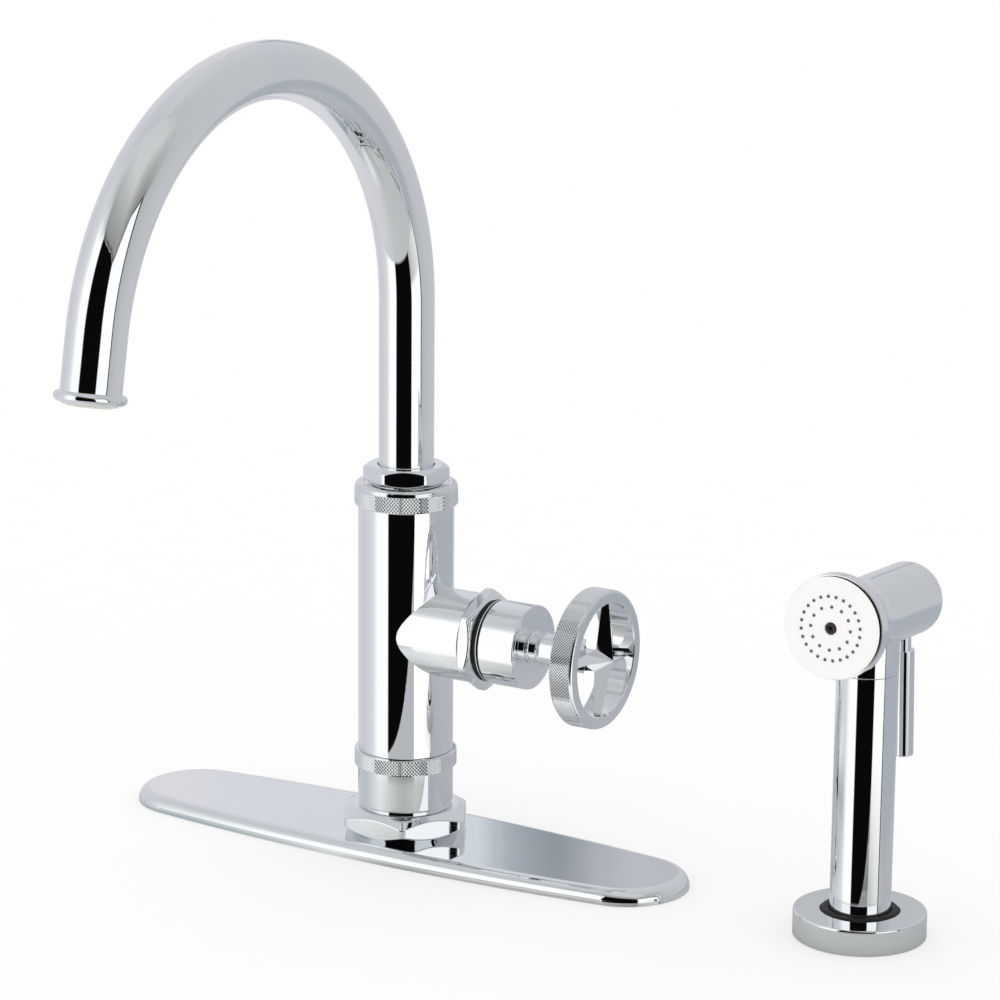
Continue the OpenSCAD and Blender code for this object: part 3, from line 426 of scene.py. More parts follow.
# %% Chrome plate, polished and over a knurl
# Polished plate is a mirror with a buffing wave about 9 mm long and wipe haze in 14 mm patches. The knurl's
# diamonds are geometry. The plate over them is less buffed, so each facet is a small soft mirror.
FINISHES = {"chrome": new_finish(
    "polished_chrome_plate", "#eceef0", 1.0, 0.03, (14, 0.012, 0.03), (30, "#e9ebee", "#eff1f2"), (9, 0.002))}
FINISHES["knurled_chrome"] = new_finish(
    "knurled_chrome_plate", "#e8eaec", 1.0, 0.07, (2, 0.04, 0.09), (1.5, "#dcdfe2", "#eef0f1"))

# %% Metals inside
# Free-machining brass with a turned skin, and drawn stainless steel for springs, pins and screens.
FINISHES["brass"] = new_finish(
    "turned_brass", "#c9a24a", 1.0, 0.28, (1.2, 0.2, 0.34), (6, "#c39a44", "#d2ad58"))
FINISHES["steel"] = new_finish(
    "drawn_stainless_steel", "#b8bcc0", 1.0, 0.3, (0.8, 0.22, 0.36), (3, "#aeb2b6", "#c2c5c9"))

# %% Rubber, plastics and ceramic
# EPDM rubber is matt with a moulded grain; acetal is waxy; alumina discs are lapped to a dull gloss.
FINISHES["rubber"] = new_finish(
    "moulded_epdm_rubber", "#101011", 0.0, 0.5, (1.5, 0.42, 0.62), (4, "#0c0c0d", "#161618"), (0.25, 0.01),
    IOR=1.5, Specular_IOR_Level=0.3)
FINISHES["nylon"] = new_finish(
    "moulded_acetal", "#e9e7e0", 0.0, 0.4, (2, 0.34, 0.48), (5, "#e4e2da", "#eeece6"), (0.4, 0.004), IOR=1.48)
FINISHES["ceramic"] = new_finish(
    "lapped_alumina", "#f2f2ee", 0.0, 0.22, (1, 0.18, 0.28), (2, "#efefea", "#f5f5f2"), IOR=1.76)
FINISHES["face_white"] = new_finish(
    "moulded_white_abs", "#fbfbfa", 0.0, 0.32, (3, 0.28, 0.38), (8, "#f9f9f8", "#fdfdfc"), (0.3, 0.002),
    IOR=1.5)
FINISHES["nozzle_grey"] = new_finish(
    "grey_silicone", "#6f7276", 0.0, 0.5, (0.8, 0.42, 0.58), (1.5, "#66696d", "#787b7f"), IOR=1.41)
FINISHES["nozzle_brown"] = new_finish(
    "brown_nylon", "#2c2018", 0.0, 0.42, (0.8, 0.36, 0.5), (1.5, "#211711", "#38291f"), IOR=1.53)

# %% [markdown]
# ## The works inside
#
# The cartridge, the waterway, the seals and the springs are hidden in use, and their CAD shapes are right. Each
# one keeps its mesh and gets the finish of its material slot.

# %% Finishes of the CAD nodes
for name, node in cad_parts.items():
    slot_name = node.data.materials[0].name.split(".")[0]
    node.data.materials.clear()
    node.data.materials.append(FINISHES[slot_name])
print(len(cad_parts), "CAD nodes have their finishes")

# %% [markdown]
# ## Tools for turned pieces
#
# Most of a faucet is turned on a lathe. In Blender the same shape comes from half a section: one vertex is
# extruded from point to point, and the line is then spun a full turn about its axis. More tools go with it: one
# picks the parts of a mesh that pass a test on their place, one rounds the sharp edges with a bevel, one joins
# or cuts pieces, and one sets the finished piece down where the CAD model has it.


# %% Pick and extrude, in edit mode
def pick(kind, test):
    """Selects the vertices or faces whose middle and normal pass the test."""
    mesh = bpy.context.edit_object.data
    bm = bmesh.from_edit_mesh(mesh)
    bpy.ops.mesh.select_mode(type=kind)
    bpy.ops.mesh.select_all(action="DESELECT")
    for part in bm.verts if kind == "VERT" else bm.faces:
        middle = part.co if kind == "VERT" else part.calc_center_median()
        if test(middle, part.normal):
            part.select_set(True)
    bm.select_flush_mode()
    bmesh.update_edit_mesh(mesh)


def extrude_to(step):
    """Extrudes what is selected by the step, in mm."""
    bpy.ops.mesh.extrude_region_move(TRANSFORM_OT_translate={"value": tuple(c * MM for c in step)})


def close_up():
    """Merges doubled vertices and turns all faces outwards."""
    bpy.ops.mesh.select_all(action="SELECT")
    bpy.ops.mesh.remove_doubles(threshold=0.0005 * MM)
    bpy.ops.mesh.normals_make_consistent(inside=False)


def activate(piece):
    """Makes a piece the only one selected, and the active one."""
    bpy.ops.object.select_all(action="DESELECT")
    piece.select_set(True)
    bpy.context.view_layer.objects.active = piece


def start_point(name, spot):
    """A mesh of one vertex at the spot, in mm, left in edit mode."""
    bpy.ops.object.select_all(action="DESELECT")
    bpy.ops.mesh.primitive_circle_add(vertices=3, radius=MM)
    piece = bpy.context.object
    piece.name = piece.data.name = name
    bpy.ops.object.mode_set(mode="EDIT")
    bpy.ops.mesh.select_mode(type="VERT")
    bpy.ops.mesh.select_all(action="SELECT")
    bpy.ops.mesh.merge(type="CENTER")
    bpy.ops.transform.translate(value=tuple(c * MM for c in spot))
    return piece


# %% Arc and lathe
def arc(middle, height, wide, tall, angles):
    """Outline points on an arc about a middle at a radius and a height, in mm. The angles are in degrees."""
    return [(middle + wide * math.cos(math.radians(a)), height + tall * math.sin(math.radians(a)))
            for a in angles]


def lathe(name, outline, steps=192):
    """Turns an outline of (radius, height) points, in mm, about Z. One that starts off the axis is closed."""
    radius, height = outline[0]
    piece = start_point(name, (radius, 0, height))
    for next_radius, next_height in outline[1:] + (outline[:1] if radius else []):
        extrude_to((next_radius - radius, 0, next_height - height))
        radius, height = next_radius, next_height
    bpy.ops.mesh.select_all(action="SELECT")
    bpy.ops.mesh.spin(steps=steps, angle=math.tau, center=(0, 0, 0), axis=(0, 0, 1))
    close_up()
    bpy.ops.object.mode_set(mode="OBJECT")
    return piece


# %% Round, place, join and cut
def use_modifier(piece, kind, **options):
    """Adds a modifier, sets it and applies it."""
    bpy.context.view_layer.objects.active = piece
    bpy.ops.object.modifier_add(type=kind)
    modifier = piece.modifiers[-1]
    for option, value in options.items():
        setattr(modifier, option, value)
    bpy.ops.object.modifier_apply(modifier=modifier.name)


def round_edges(piece, width, segments=3, angle=30, hold_back=True):
    """Rounds the edges that are sharper than the angle by a width in mm, held back where edges are short."""
    use_modifier(piece, "BEVEL", width=width * MM, segments=segments, limit_method="ANGLE",
                 angle_limit=math.radians(angle), use_clamp_overlap=hold_back, miter_outer="MITER_ARC")


def about(axis, degrees):
    """A turn about an axis."""
    return Matrix.Rotation(math.radians(degrees), 4, axis)


def settle(piece, spot=(0, 0, 0), turn=None):
    """Turns and moves a piece, with the spot in mm, and makes that its mesh's own place."""
    bpy.context.view_layer.update()
    piece.matrix_world = (
        Matrix.Translation(Vector(spot) * MM) @ (turn or Matrix.Identity(4)) @ piece.matrix_world)
    activate(piece)
    bpy.ops.object.transform_apply(location=True, rotation=True, scale=True)
    return piece


def rod(radius, low, high, steps=96):
    """A plain round cutter about Z, in mm."""
    bpy.ops.object.select_all(action="DESELECT")
    bpy.ops.mesh.primitive_cylinder_add(
        vertices=steps, radius=radius * MM, depth=(high - low) * MM, location=(0, 0, (low + high) / 2 * MM))
    return settle(bpy.context.object)


def combine(piece, tool, way="DIFFERENCE"):
    """Cuts the tool out of the piece, or joins or intersects them, and removes the tool."""
    use_modifier(piece, "BOOLEAN", object=tool, operation=way, solver="EXACT")
    bpy.data.objects.remove(tool)
    return piece


def fit(piece, slot_name, body, *nodes, smooth=30):
    """Shades a finished piece, gives it its finish, and stands it in for its CAD nodes."""
    activate(piece)
    bpy.ops.object.shade_smooth_by_angle(angle=math.radians(smooth))
    use_modifier(piece, "WEIGHTED_NORMAL", keep_sharp=True, weight=80)
    piece.data.materials.clear()
    piece.data.materials.append(FINISHES[slot_name])
    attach(piece, body)
    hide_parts(*nodes)
    print(piece.name, "has", len(piece.data.polygons), "faces")
    return piece


# %% [markdown]
# ## Deck plate
#
# The plate is pressed from sheet brass and covers the unused sink holes. Its outline is an oval of four arcs,
# two tight ones at the ends and two nearly straight ones at the sides, and its rim rolls down to a short
# upright lip. A curve object could give the outline, but spinning one vertex round the four arc centres gives
# the exact arcs. The rim is a stack of insets, each a little further in and up than the one before.

# %% The oval outline, spun arc by arc
PLATE_L, PLATE_W, PLATE_T = 254.0, 63.5, 5.8
PLATE_END_R = 25.4
PLATE_LIP, PLATE_SHOULDER = 1.4, 5.5
GASKET_IN, PLATE_EDGE = 3.5, 0.12
CORE_R = 16.45
GASKET_T = 1.6
end_x = PLATE_L / 2 - PLATE_END_R
side_r = (end_x ** 2 + (PLATE_W / 2) ** 2 - PLATE_END_R ** 2) / (PLATE_W - 2 * PLATE_END_R)
side_y = side_r - PLATE_W / 2
tangent = math.atan2(side_y, end_x)
END_STEPS, SIDE_STEPS = 96, 64

plate = start_point("deck_plate_shell", (
    end_x + PLATE_END_R * math.cos(tangent), -PLATE_END_R * math.sin(tangent), 0))
for centre_x, centre_y, sweep, steps in (
        (end_x, 0, 2 * tangent, END_STEPS), (0, -side_y, math.pi - 2 * tangent, SIDE_STEPS),
        (-end_x, 0, 2 * tangent, END_STEPS), (0, side_y, math.pi - 2 * tangent, SIDE_STEPS)):
    bpy.ops.mesh.spin(steps=steps, angle=-sweep, center=(centre_x * MM, centre_y * MM, 0), axis=(0, 0, 1))
bpy.ops.mesh.select_all(action="SELECT")
bpy.ops.mesh.remove_doubles(threshold=0.001 * MM)
bpy.ops.object.mode_set(mode="OBJECT")
bpy.context.view_layer.update()
print("outline size in mm:", [round(d / MM, 2) for d in plate.dimensions])

# %% Lip, fine ledge and rolled rim
LEDGE = 0.22
ROLL_STEPS = 12
bpy.ops.object.mode_set(mode="EDIT")
bpy.ops.mesh.select_all(action="SELECT")
bpy.ops.mesh.edge_face_add()
extrude_to((0, 0, PLATE_LIP))
close_up()
pick("FACE", lambda middle, normal: normal.z > 0.9)
bpy.ops.mesh.inset(thickness=LEDGE * MM, depth=0)
roll_w, roll_h = PLATE_SHOULDER - LEDGE, PLATE_T - PLATE_LIP
for i in range(ROLL_STEPS):
    low, high = (math.pi / 2 * k / ROLL_STEPS for k in (i, i + 1))
    bpy.ops.mesh.inset(
        thickness=roll_w * (math.cos(low) - math.cos(high)) * MM,
        depth=roll_h * (math.sin(high) - math.sin(low)) * MM)
close_up()
pick("FACE", lambda middle, normal: normal.z < -0.9 and abs(middle.z) < 0.01 * MM)
bpy.ops.mesh.inset(thickness=GASKET_IN * MM, depth=-GASKET_T * MM)
bpy.ops.object.mode_set(mode="OBJECT")
combine(plate, rod(CORE_R, -1, PLATE_T + 1))
round_edges(plate, PLATE_EDGE, 2, 50)
fit(plate, "chrome", "faucet", "deck_plate")

# %% [markdown]
# ## Nuts
#
# A chamfered hex nut is a hexagonal bar whose corners have been turned off by a cone at each end. That leaves
# the curved arcs that run from corner to corner. Bevelling the corners of a hexagon can't draw these arcs, so
# the bar is intersected with the turned cone, as on the machine.


# %% A hex nut with turned chamfers
NUT_CORNER, NUT_EDGE = 1.9, 0.45


def hex_nut(name, corner_r, height, low, high, flat, bore, turn_deg=0):
    """A nut that stands on z = 0, in mm. Low and high are its chamfers, flat is the radius they start from."""
    past = corner_r + 1
    bar_h = height + 12
    low_end, high_end = (c * (past - flat) / (corner_r - flat) for c in (low, high))
    nut = lathe(name, [
        (0, 0), (flat, 0), (past, low_end), (past, height - high_end), (flat, height), (0, height)], 96)
    bpy.ops.mesh.primitive_cylinder_add(
        vertices=6, radius=corner_r * MM, depth=bar_h * MM, location=(0, 0, height / 2 * MM))
    bar = settle(bpy.context.object, turn=about("Z", turn_deg - 90))
    round_edges(bar, NUT_CORNER, 7, 40)
    combine(nut, bar, "INTERSECT")
    combine(nut, rod(bore, -1, height + 1, 128))
    round_edges(nut, NUT_EDGE, 3, 35, False)
    return nut


# %% Three nuts
NUT_Z, SLEEVE_Z, RING_Z, BODY_Z, TOP_RING_Z = 5.8, 16.5, 33.0, 39.8, 140.5
SPOUT_NUT_Z, SPOUT_NUT_TOP = 149.4, 156.5
SPOUT_R = 10.94
VALVE_Z, BOSS_REACH, BONNET_TURN = 90.0, 34.5, -6.7
ON_VALVE = Matrix.Rotation(math.pi / 2, 4, "Y")
for name, node, sizes, spot, turn in (
        ("base_hex_nut", "base_nut", (27.8, 10.7, 4.2, 3.9, 21.5, CORE_R), (0, 0, NUT_Z), None),
        ("spout_hex_nut", "spout_nut", (17.6, SPOUT_NUT_TOP - SPOUT_NUT_Z, 1.8, 1.8, 14.6, SPOUT_R + 0.3, 30),
         (0, 0, SPOUT_NUT_Z), None),
        ("bonnet_hex_nut", "bonnet_nut", (20.9, 6.3, 1.4, 2.3, 16.8, 9.0),
         (BOSS_REACH, 0, VALVE_Z), about("X", BONNET_TURN) @ ON_VALVE)):
    fit(settle(hex_nut(name, *sizes), spot, turn), "chrome", "faucet", node)

# %% [markdown]
# ## Knurled rings
#
# A knurling tool rolls two sets of slanting grooves into the ring, and leaves rows of small four-sided
# diamonds. An image could fake them, but their sparkle comes from hundreds of tiny mirrors that face different
# ways. So the wall is spun with a fine grid of points, and every second point is pushed in. The grooves run
# along the short diagonals of the grid, so each square is split there.


# %% Rows of points for a knurl, and its grooves
def knurl_rows(radius, low, high, rows):
    """Outline points up a wall that is going to be knurled, two to a row of diamonds."""
    return [(radius, low + (high - low) * k / (2 * rows)) for k in range(2 * rows + 1)]


def cut_knurl(piece, radius, low, high, rows, cells, depth):
    """Pushes every second point of a wall in by the depth. The piece is spun in two steps a diamond."""
    bpy.context.view_layer.objects.active = piece
    bpy.ops.object.mode_set(mode="EDIT")
    row = (high - low) / (2 * rows)

    def in_groove(spot, normal):
        out, up = spot.xy.length / MM, spot.z / MM
        if abs(out - radius) > 0.01 or not low - 0.01 <= up <= high + 0.01:
            return False
        return (round(math.atan2(spot.y, spot.x) / math.pi * cells) + round((up - low) / row)) % 2 == 1

    pick("VERT", in_groove)
    share = (radius - depth) / radius
    bpy.ops.transform.resize(value=(share, share, 1), center_override=(0, 0, 0))
    floor_r = radius - depth - 0.05
    pick("FACE", lambda spot, normal: low * MM < spot.z < high * MM and spot.xy.length > floor_r * MM)
    bpy.ops.mesh.quads_convert_to_tris(quad_method="SHORTEST_DIAGONAL")
    bpy.ops.object.mode_set(mode="OBJECT")


# %% Lower ring
RING_R, RING_H, RING_CELLS, RING_ROWS = 20.55, 6.8, 98, 4
KNURL_DEPTH = 0.17
KNURL_LOW, KNURL_HIGH, TOP_KNURL_HIGH = 0.5, 6.3, 6.5
ring_foot = [(CORE_R, 0), (RING_R - 0.9, 0), (RING_R - 0.3, 0.15)]
lower_ring = lathe("lower_knurled_ring", [
    *ring_foot, *knurl_rows(RING_R, KNURL_LOW, KNURL_HIGH, RING_ROWS), (RING_R - 0.3, RING_H - 0.15),
    (RING_R - 0.9, RING_H), (CORE_R, RING_H)], 2 * RING_CELLS)
cut_knurl(lower_ring, RING_R, KNURL_LOW, KNURL_HIGH, RING_ROWS, RING_CELLS, KNURL_DEPTH)
settle(lower_ring, (0, 0, RING_Z))
fit(lower_ring, "knurled_chrome", "faucet", "lower_knurl_ring", smooth=20)

# %% Upper ring, with its plain bevelled rim
TOP_RING_H, SPOUT_BORE = 8.9, 11.24
upper_ring = lathe("upper_knurled_ring", [
    *ring_foot, *knurl_rows(RING_R, KNURL_LOW, TOP_KNURL_HIGH, RING_ROWS), (RING_R - 0.3, 6.65),
    (RING_R - 0.2, 6.8), *arc(RING_R - 1.9, TOP_RING_H - 1.6, 1.7, 1.6, range(0, 91, 10)), (17.2, TOP_RING_H),
    (16.9, 8.3), (14.0, 8.3), (13.7, TOP_RING_H), (SPOUT_BORE, TOP_RING_H), (SPOUT_BORE, 5.3),
    (CORE_R, 5.3)], 2 * RING_CELLS)
cut_knurl(upper_ring, RING_R, KNURL_LOW, TOP_KNURL_HIGH, RING_ROWS, RING_CELLS, KNURL_DEPTH)
settle(upper_ring, (0, 0, TOP_RING_Z))
fit(upper_ring, "knurled_chrome", "faucet", "upper_knurl_ring", smooth=20)

# %% [markdown]
# ## Sleeve and body
#
# Between the base nut and the lower ring is a short plain sleeve. Above the ring stands the body tube, with a
# round boss for the valve on its right. The two cylinders meet in a sharp line, as where one tube is brazed to
# another and polished, so a union is right and no fillet is added.

# %% Sleeve and body tube
def on_valve(piece):
    """Puts a piece that was turned about Z on the valve's axis."""
    return settle(piece, (0, 0, VALVE_Z), ON_VALVE)


BODY_R, BODY_H, SLEEVE_H = 19.05, 100.7, 16.5
BOSS_R, BOSS_BORE, SEAT_X = 17.8, 15.5, 7.0
sleeve = lathe("lower_sleeve_tube", [
    (CORE_R, 0), (17.95, 0), (17.95, 0.6), (18.3, 0.72), (18.65, 0.9), (18.9, 1.25), (BODY_R, 1.7),
    (BODY_R, SLEEVE_H - 0.3), (BODY_R - 0.15, SLEEVE_H - 0.08), (BODY_R - 0.4, SLEEVE_H),
    (CORE_R, SLEEVE_H)], 256)
settle(sleeve, (0, 0, SLEEVE_Z))
fit(sleeve, "chrome", "faucet", "lower_sleeve")

body = lathe("body_tube", [
    (0, 0), (BODY_R - 0.5, 0), (BODY_R - 0.15, 0.1), (BODY_R, 0.4), (BODY_R, 50), (BODY_R, BODY_H - 0.4),
    (BODY_R - 0.15, BODY_H - 0.1), (BODY_R - 0.5, BODY_H), (0, BODY_H)], 256)
settle(body, (0, 0, BODY_Z))
boss = on_valve(rod(BOSS_R, 0, BOSS_REACH, 256))
combine(body, boss, "UNION")
combine(body, rod(CORE_R, BODY_Z - 1, TOP_RING_Z + 1, 128))
combine(body, on_valve(rod(BOSS_BORE, SEAT_X, BOSS_REACH + 1, 128)))
fit(body, "chrome", "faucet", "body_shell", smooth=12)

# %% [markdown]
# ## Spout
#
# The spout is one bent tube. A circle is extruded up the leg, spun round the middle of the arc and extruded
# again down the short straight end. Solidify then gives the tube its wall.

# %% Bent tube
ARC_R, ARC_Z, TUBE_FOOT = 100.9, 221.3, 136.0
SWEEP = math.radians(169.07)
TAIL_L, SPOUT_WALL = 19.2, 1.6
bpy.ops.object.select_all(action="DESELECT")
bpy.ops.mesh.primitive_circle_add(vertices=96, radius=SPOUT_R * MM, location=(0, 0, TUBE_FOOT * MM))
spout = bpy.context.object
spout.name = spout.data.name = "gooseneck_tube"
settle(spout)
bpy.ops.object.mode_set(mode="EDIT")
bpy.ops.mesh.select_all(action="SELECT")
for part in range(4):
    extrude_to((0, 0, (ARC_Z - TUBE_FOOT) / 4))
bpy.ops.mesh.spin(steps=150, angle=-SWEEP, center=(0, -ARC_R * MM, ARC_Z * MM), axis=(1, 0, 0))
extrude_to((0, -TAIL_L * math.sin(SWEEP), TAIL_L * math.cos(SWEEP)))
close_up()
bpy.ops.object.mode_set(mode="OBJECT")
use_modifier(spout, "SOLIDIFY", thickness=SPOUT_WALL * MM, offset=-1, use_even_offset=True)
fit(spout, "chrome", "spout", "spout_tube")

# %% Bead at the tip
TIP_SPOT = (0, ARC_R * (math.cos(SWEEP) - 1), ARC_Z + ARC_R * math.sin(SWEEP))
TIP_TURN = Matrix.Rotation(SWEEP, 4, "X")
TIP_R, TIP_H = 13.0, 4.0
COLLAR_R, COLLAR_BORE, POCKET_R = 9.24, 8.04, 10.2
COLLAR_FOOT, POCKET_FLOOR = TAIL_L - 9.2, TAIL_L + 1.3
bead = arc(TIP_R - TIP_H / 2, TAIL_L + TIP_H / 2, TIP_H / 2, TIP_H / 2, range(-90, 91, 10))
tip = lathe("tip_bead", [
    (COLLAR_BORE, COLLAR_FOOT), (COLLAR_R, COLLAR_FOOT), (COLLAR_R, TAIL_L), *bead,
    (POCKET_R + 0.3, TAIL_L + TIP_H), (POCKET_R, TAIL_L + TIP_H - 0.3), (POCKET_R, POCKET_FLOOR),
    (COLLAR_BORE, POCKET_FLOOR)], 128)
settle(tip, TIP_SPOT, TIP_TURN)
fit(tip, "chrome", "spout", "tip_ring")

# %% [markdown]
# ## Valve rings, hub and stem
#
# Outside the bonnet nut there are a black seal, a bright ring and a black washer, and then the round hub that
# turns with the handwheel. Each is one turned section on the valve's axis.

# %% Rings between nut and hub
HUB_R = 16.76
SEAL_X, TRIM_X, WASHER_X, WASHER_END, HUB_X, HUB_FRONT = 40.8, 42.25, 42.75, 43.3, 43.5, 59.2
RING_BORE = 9.0


def valve_ring(name, radius, start, end, corner, slot_name, node):
    """A ring on the valve's axis with rounded corners, in mm."""
    ring = lathe(name, [
        (RING_BORE, start), (radius - corner, start), (radius - 0.3 * corner, start + 0.3 * corner),
        (radius, start + corner), (radius, end - corner), (radius - 0.3 * corner, end - 0.3 * corner),
        (radius - corner, end), (RING_BORE, end)], 160)
    on_valve(ring)
    return fit(ring, slot_name, "faucet", node)


valve_ring("bonnet_seal", HUB_R - 0.35, SEAL_X, TRIM_X, 0.15, "rubber", "seal_ring")
valve_ring("bright_ring", HUB_R - 0.2, TRIM_X, WASHER_X, 0.12, "chrome", "trim_ring")
valve_ring("black_washer", HUB_R - 0.6, WASHER_X, WASHER_END, 0.15, "rubber", "glide_washer")

# %% Hub, with its blind bore and grub-screw hole
SPINDLE_R, SPINDLE_END, SCREW_X, SCREW_R = 6.05, 54.3, 48.0, 2.05
hub = lathe("handle_drum", [
    (0, SPINDLE_END), (SPINDLE_R, SPINDLE_END), (SPINDLE_R, HUB_X), (HUB_R - 0.5, HUB_X),
    (HUB_R - 0.15, HUB_X + 0.15), (HUB_R, HUB_X + 0.5), (HUB_R, HUB_FRONT - 0.45),
    (HUB_R - 0.13, HUB_FRONT - 0.13),
    (HUB_R - 0.45, HUB_FRONT), (4.0, HUB_FRONT), (4.0, HUB_FRONT - 4), (0, HUB_FRONT - 4)], 192)
on_valve(hub)
combine(hub, settle(rod(SCREW_R, -18, -5.9, 48), (SCREW_X, 0, VALVE_Z)))
fit(hub, "chrome", "handle", "handle_hub")

# %% Neck and stem
NECK_FRONT, STAR_X = 63.4, 84.5
HUB_TENON_R, STAR_TENON_R, STAR_TENON_L = 3.95, 2.95, 5.2
stem = lathe("handle_neck_stem", [
    (0, HUB_FRONT - 3.7), (HUB_TENON_R, HUB_FRONT - 3.7), (HUB_TENON_R, HUB_FRONT),
    *arc(6.25, HUB_FRONT + 0.45, 0.45, 0.45, range(-90, 91, 15)), (6.05, HUB_FRONT + 1.0),
    (6.0, HUB_FRONT + 1.2), (6.0, NECK_FRONT - 0.4), (6.1, NECK_FRONT - 0.2), (6.75, NECK_FRONT + 0.7),
    (6.88, NECK_FRONT + 1.0), (6.9, NECK_FRONT + 1.35), (6.75, NECK_FRONT + 1.5), (6.45, NECK_FRONT + 1.55),
    (6.45, NECK_FRONT + 1.75), (6.65, NECK_FRONT + 1.9), (6.65, STAR_X),
    (STAR_TENON_R, STAR_X), (STAR_TENON_R, STAR_X + STAR_TENON_L), (0, STAR_X + STAR_TENON_L)], 160)
on_valve(stem)
fit(stem, "chrome", "handle", "handle_stem")

# %% [markdown]
# ## Handwheel
#
# The wheel is a knurled rim with a four-point star in it, like the wheel of a steam valve. Each arm of the star
# is a ridge that rises to a peak in the middle. The star starts as a disc of sixteen triangles: its points are
# drawn out to the rim, its corners pulled in, and its middle raised. One extrusion, flattened at the back,
# gives it its thickness.

# %% Star
WHEEL_R, RIM_T, RIM_BACK, RIM_FRONT = 27.4, 5.1, 81.6, 92.0
RIM_IN = WHEEL_R - RIM_T
ARM_REACH, ARM_HALF, STAR_IN_R = RIM_IN + 1, 1.4, 5.9
EDGE_X, RIDGE_X, PEAK_X, SIDE_X = 89.4, 91.0, 95.0, 88.9
STAR_TURN, DISC_R = -6.5, 10
bpy.ops.object.select_all(action="DESELECT")
bpy.ops.mesh.primitive_circle_add(vertices=16, radius=DISC_R * MM, fill_type="TRIFAN")
star = bpy.context.object
star.name = star.data.name = "handwheel_star"
bpy.ops.object.mode_set(mode="EDIT")


def sixteenths(spot):
    """Which sixteenth of the circle a point stands on, or -1 for the middle."""
    return round(math.atan2(spot.y, spot.x) / math.tau * 16) % 16 if spot.xy.length > MM else -1


def star_points(test, scale, height):
    """Scales the chosen points of the star in its plane and lifts them to a height in mm."""
    pick("VERT", lambda spot, normal: test(sixteenths(spot)) and abs(spot.z) < 0.001 * MM)
    bpy.ops.transform.resize(value=(*scale, 1), center_override=(0, 0, 0))
    bpy.ops.transform.translate(value=(0, 0, height * MM))


sixteenth = math.tau / 16
long_way, short_way = ARM_REACH / DISC_R / math.cos(sixteenth), ARM_HALF / DISC_R / math.sin(sixteenth)
star_points(lambda k: k == -1, (1, 1), PEAK_X)
star_points(lambda k: k % 4 == 0, (ARM_REACH / DISC_R,) * 2, RIDGE_X)
star_points(lambda k: k % 4 == 2, (STAR_IN_R / DISC_R,) * 2, EDGE_X)
star_points(lambda k: k in (1, 15, 7, 9), (long_way, short_way), SIDE_X)
star_points(lambda k: k in (3, 5, 11, 13), (short_way, long_way), SIDE_X)
bpy.ops.mesh.select_all(action="SELECT")
extrude_to((0, 0, -1))
bpy.ops.transform.resize(value=(1, 1, 0), center_override=(0, 0, STAR_X * MM))
close_up()
bpy.ops.object.mode_set(mode="OBJECT")
combine(star, rod(3.0, STAR_X - 1, STAR_X + 5.5, 64))
round_edges(star, 0.16, 2, 25)
settle(star, (0, 0, VALVE_Z), about("X", STAR_TURN) @ ON_VALVE)
print("star spans", round(max(star.dimensions.yz) / MM, 1), "mm")

# %% Rim
WHEEL_CELLS, WHEEL_ROWS = 140, 7
WHEEL_LOW, WHEEL_HIGH = RIM_BACK + 1.0, RIM_FRONT - 1.3
rim = lathe("handwheel_rim", [
    (RIM_IN, RIM_BACK + 0.5), (RIM_IN + 0.15, RIM_BACK + 0.15), (RIM_IN + 0.5, RIM_BACK),
    (WHEEL_R - 1.2, RIM_BACK), (WHEEL_R - 0.55, RIM_BACK + 0.25), (WHEEL_R - 0.2, RIM_BACK + 0.7),
    *knurl_rows(WHEEL_R, WHEEL_LOW, WHEEL_HIGH, WHEEL_ROWS),
    *arc(WHEEL_R - 1.3, RIM_FRONT - 1.1, 1.1, 1.1, range(0, 91, 15)),
    (RIM_IN + 0.5, RIM_FRONT), (RIM_IN + 0.15, RIM_FRONT - 0.15),
    (RIM_IN, RIM_FRONT - 0.5)], 2 * WHEEL_CELLS)
cut_knurl(rim, WHEEL_R, WHEEL_LOW, WHEEL_HIGH, WHEEL_ROWS, WHEEL_CELLS, KNURL_DEPTH)
on_valve(rim)
fit(rim, "knurled_chrome", "handle", "handwheel", smooth=20)
fit(star, "chrome", "handle", "handwheel", smooth=25)

# %% [markdown]
# ## Sprayer holder
#
# A low round holder stands in the last sink hole, with a black rubber ring pressed into it. The ring guides the
# sprayer's handle and keeps metal off metal, and its lip is rounded so that the handle slides in.

# %% Holder and rubber ring
HOLDER_R, HOLDER_H, HOLDER_BORE, BUSH_FLOOR = 25.3, 10.0, 13.2, 6
GASKET_IN_R, GASKET_OUT_R, GASKET_UP = 19.0, 23.5, 1.5
GRIP_R, GRIP_FOOT, LIP_R, BUSH_BORE = 11.6, 7, 14.9, 10.0


def by_faucet(piece):
    """Puts a piece that was turned about Z where the sprayer stands."""
    return settle(piece, (SPRAY_X, 0, 0))


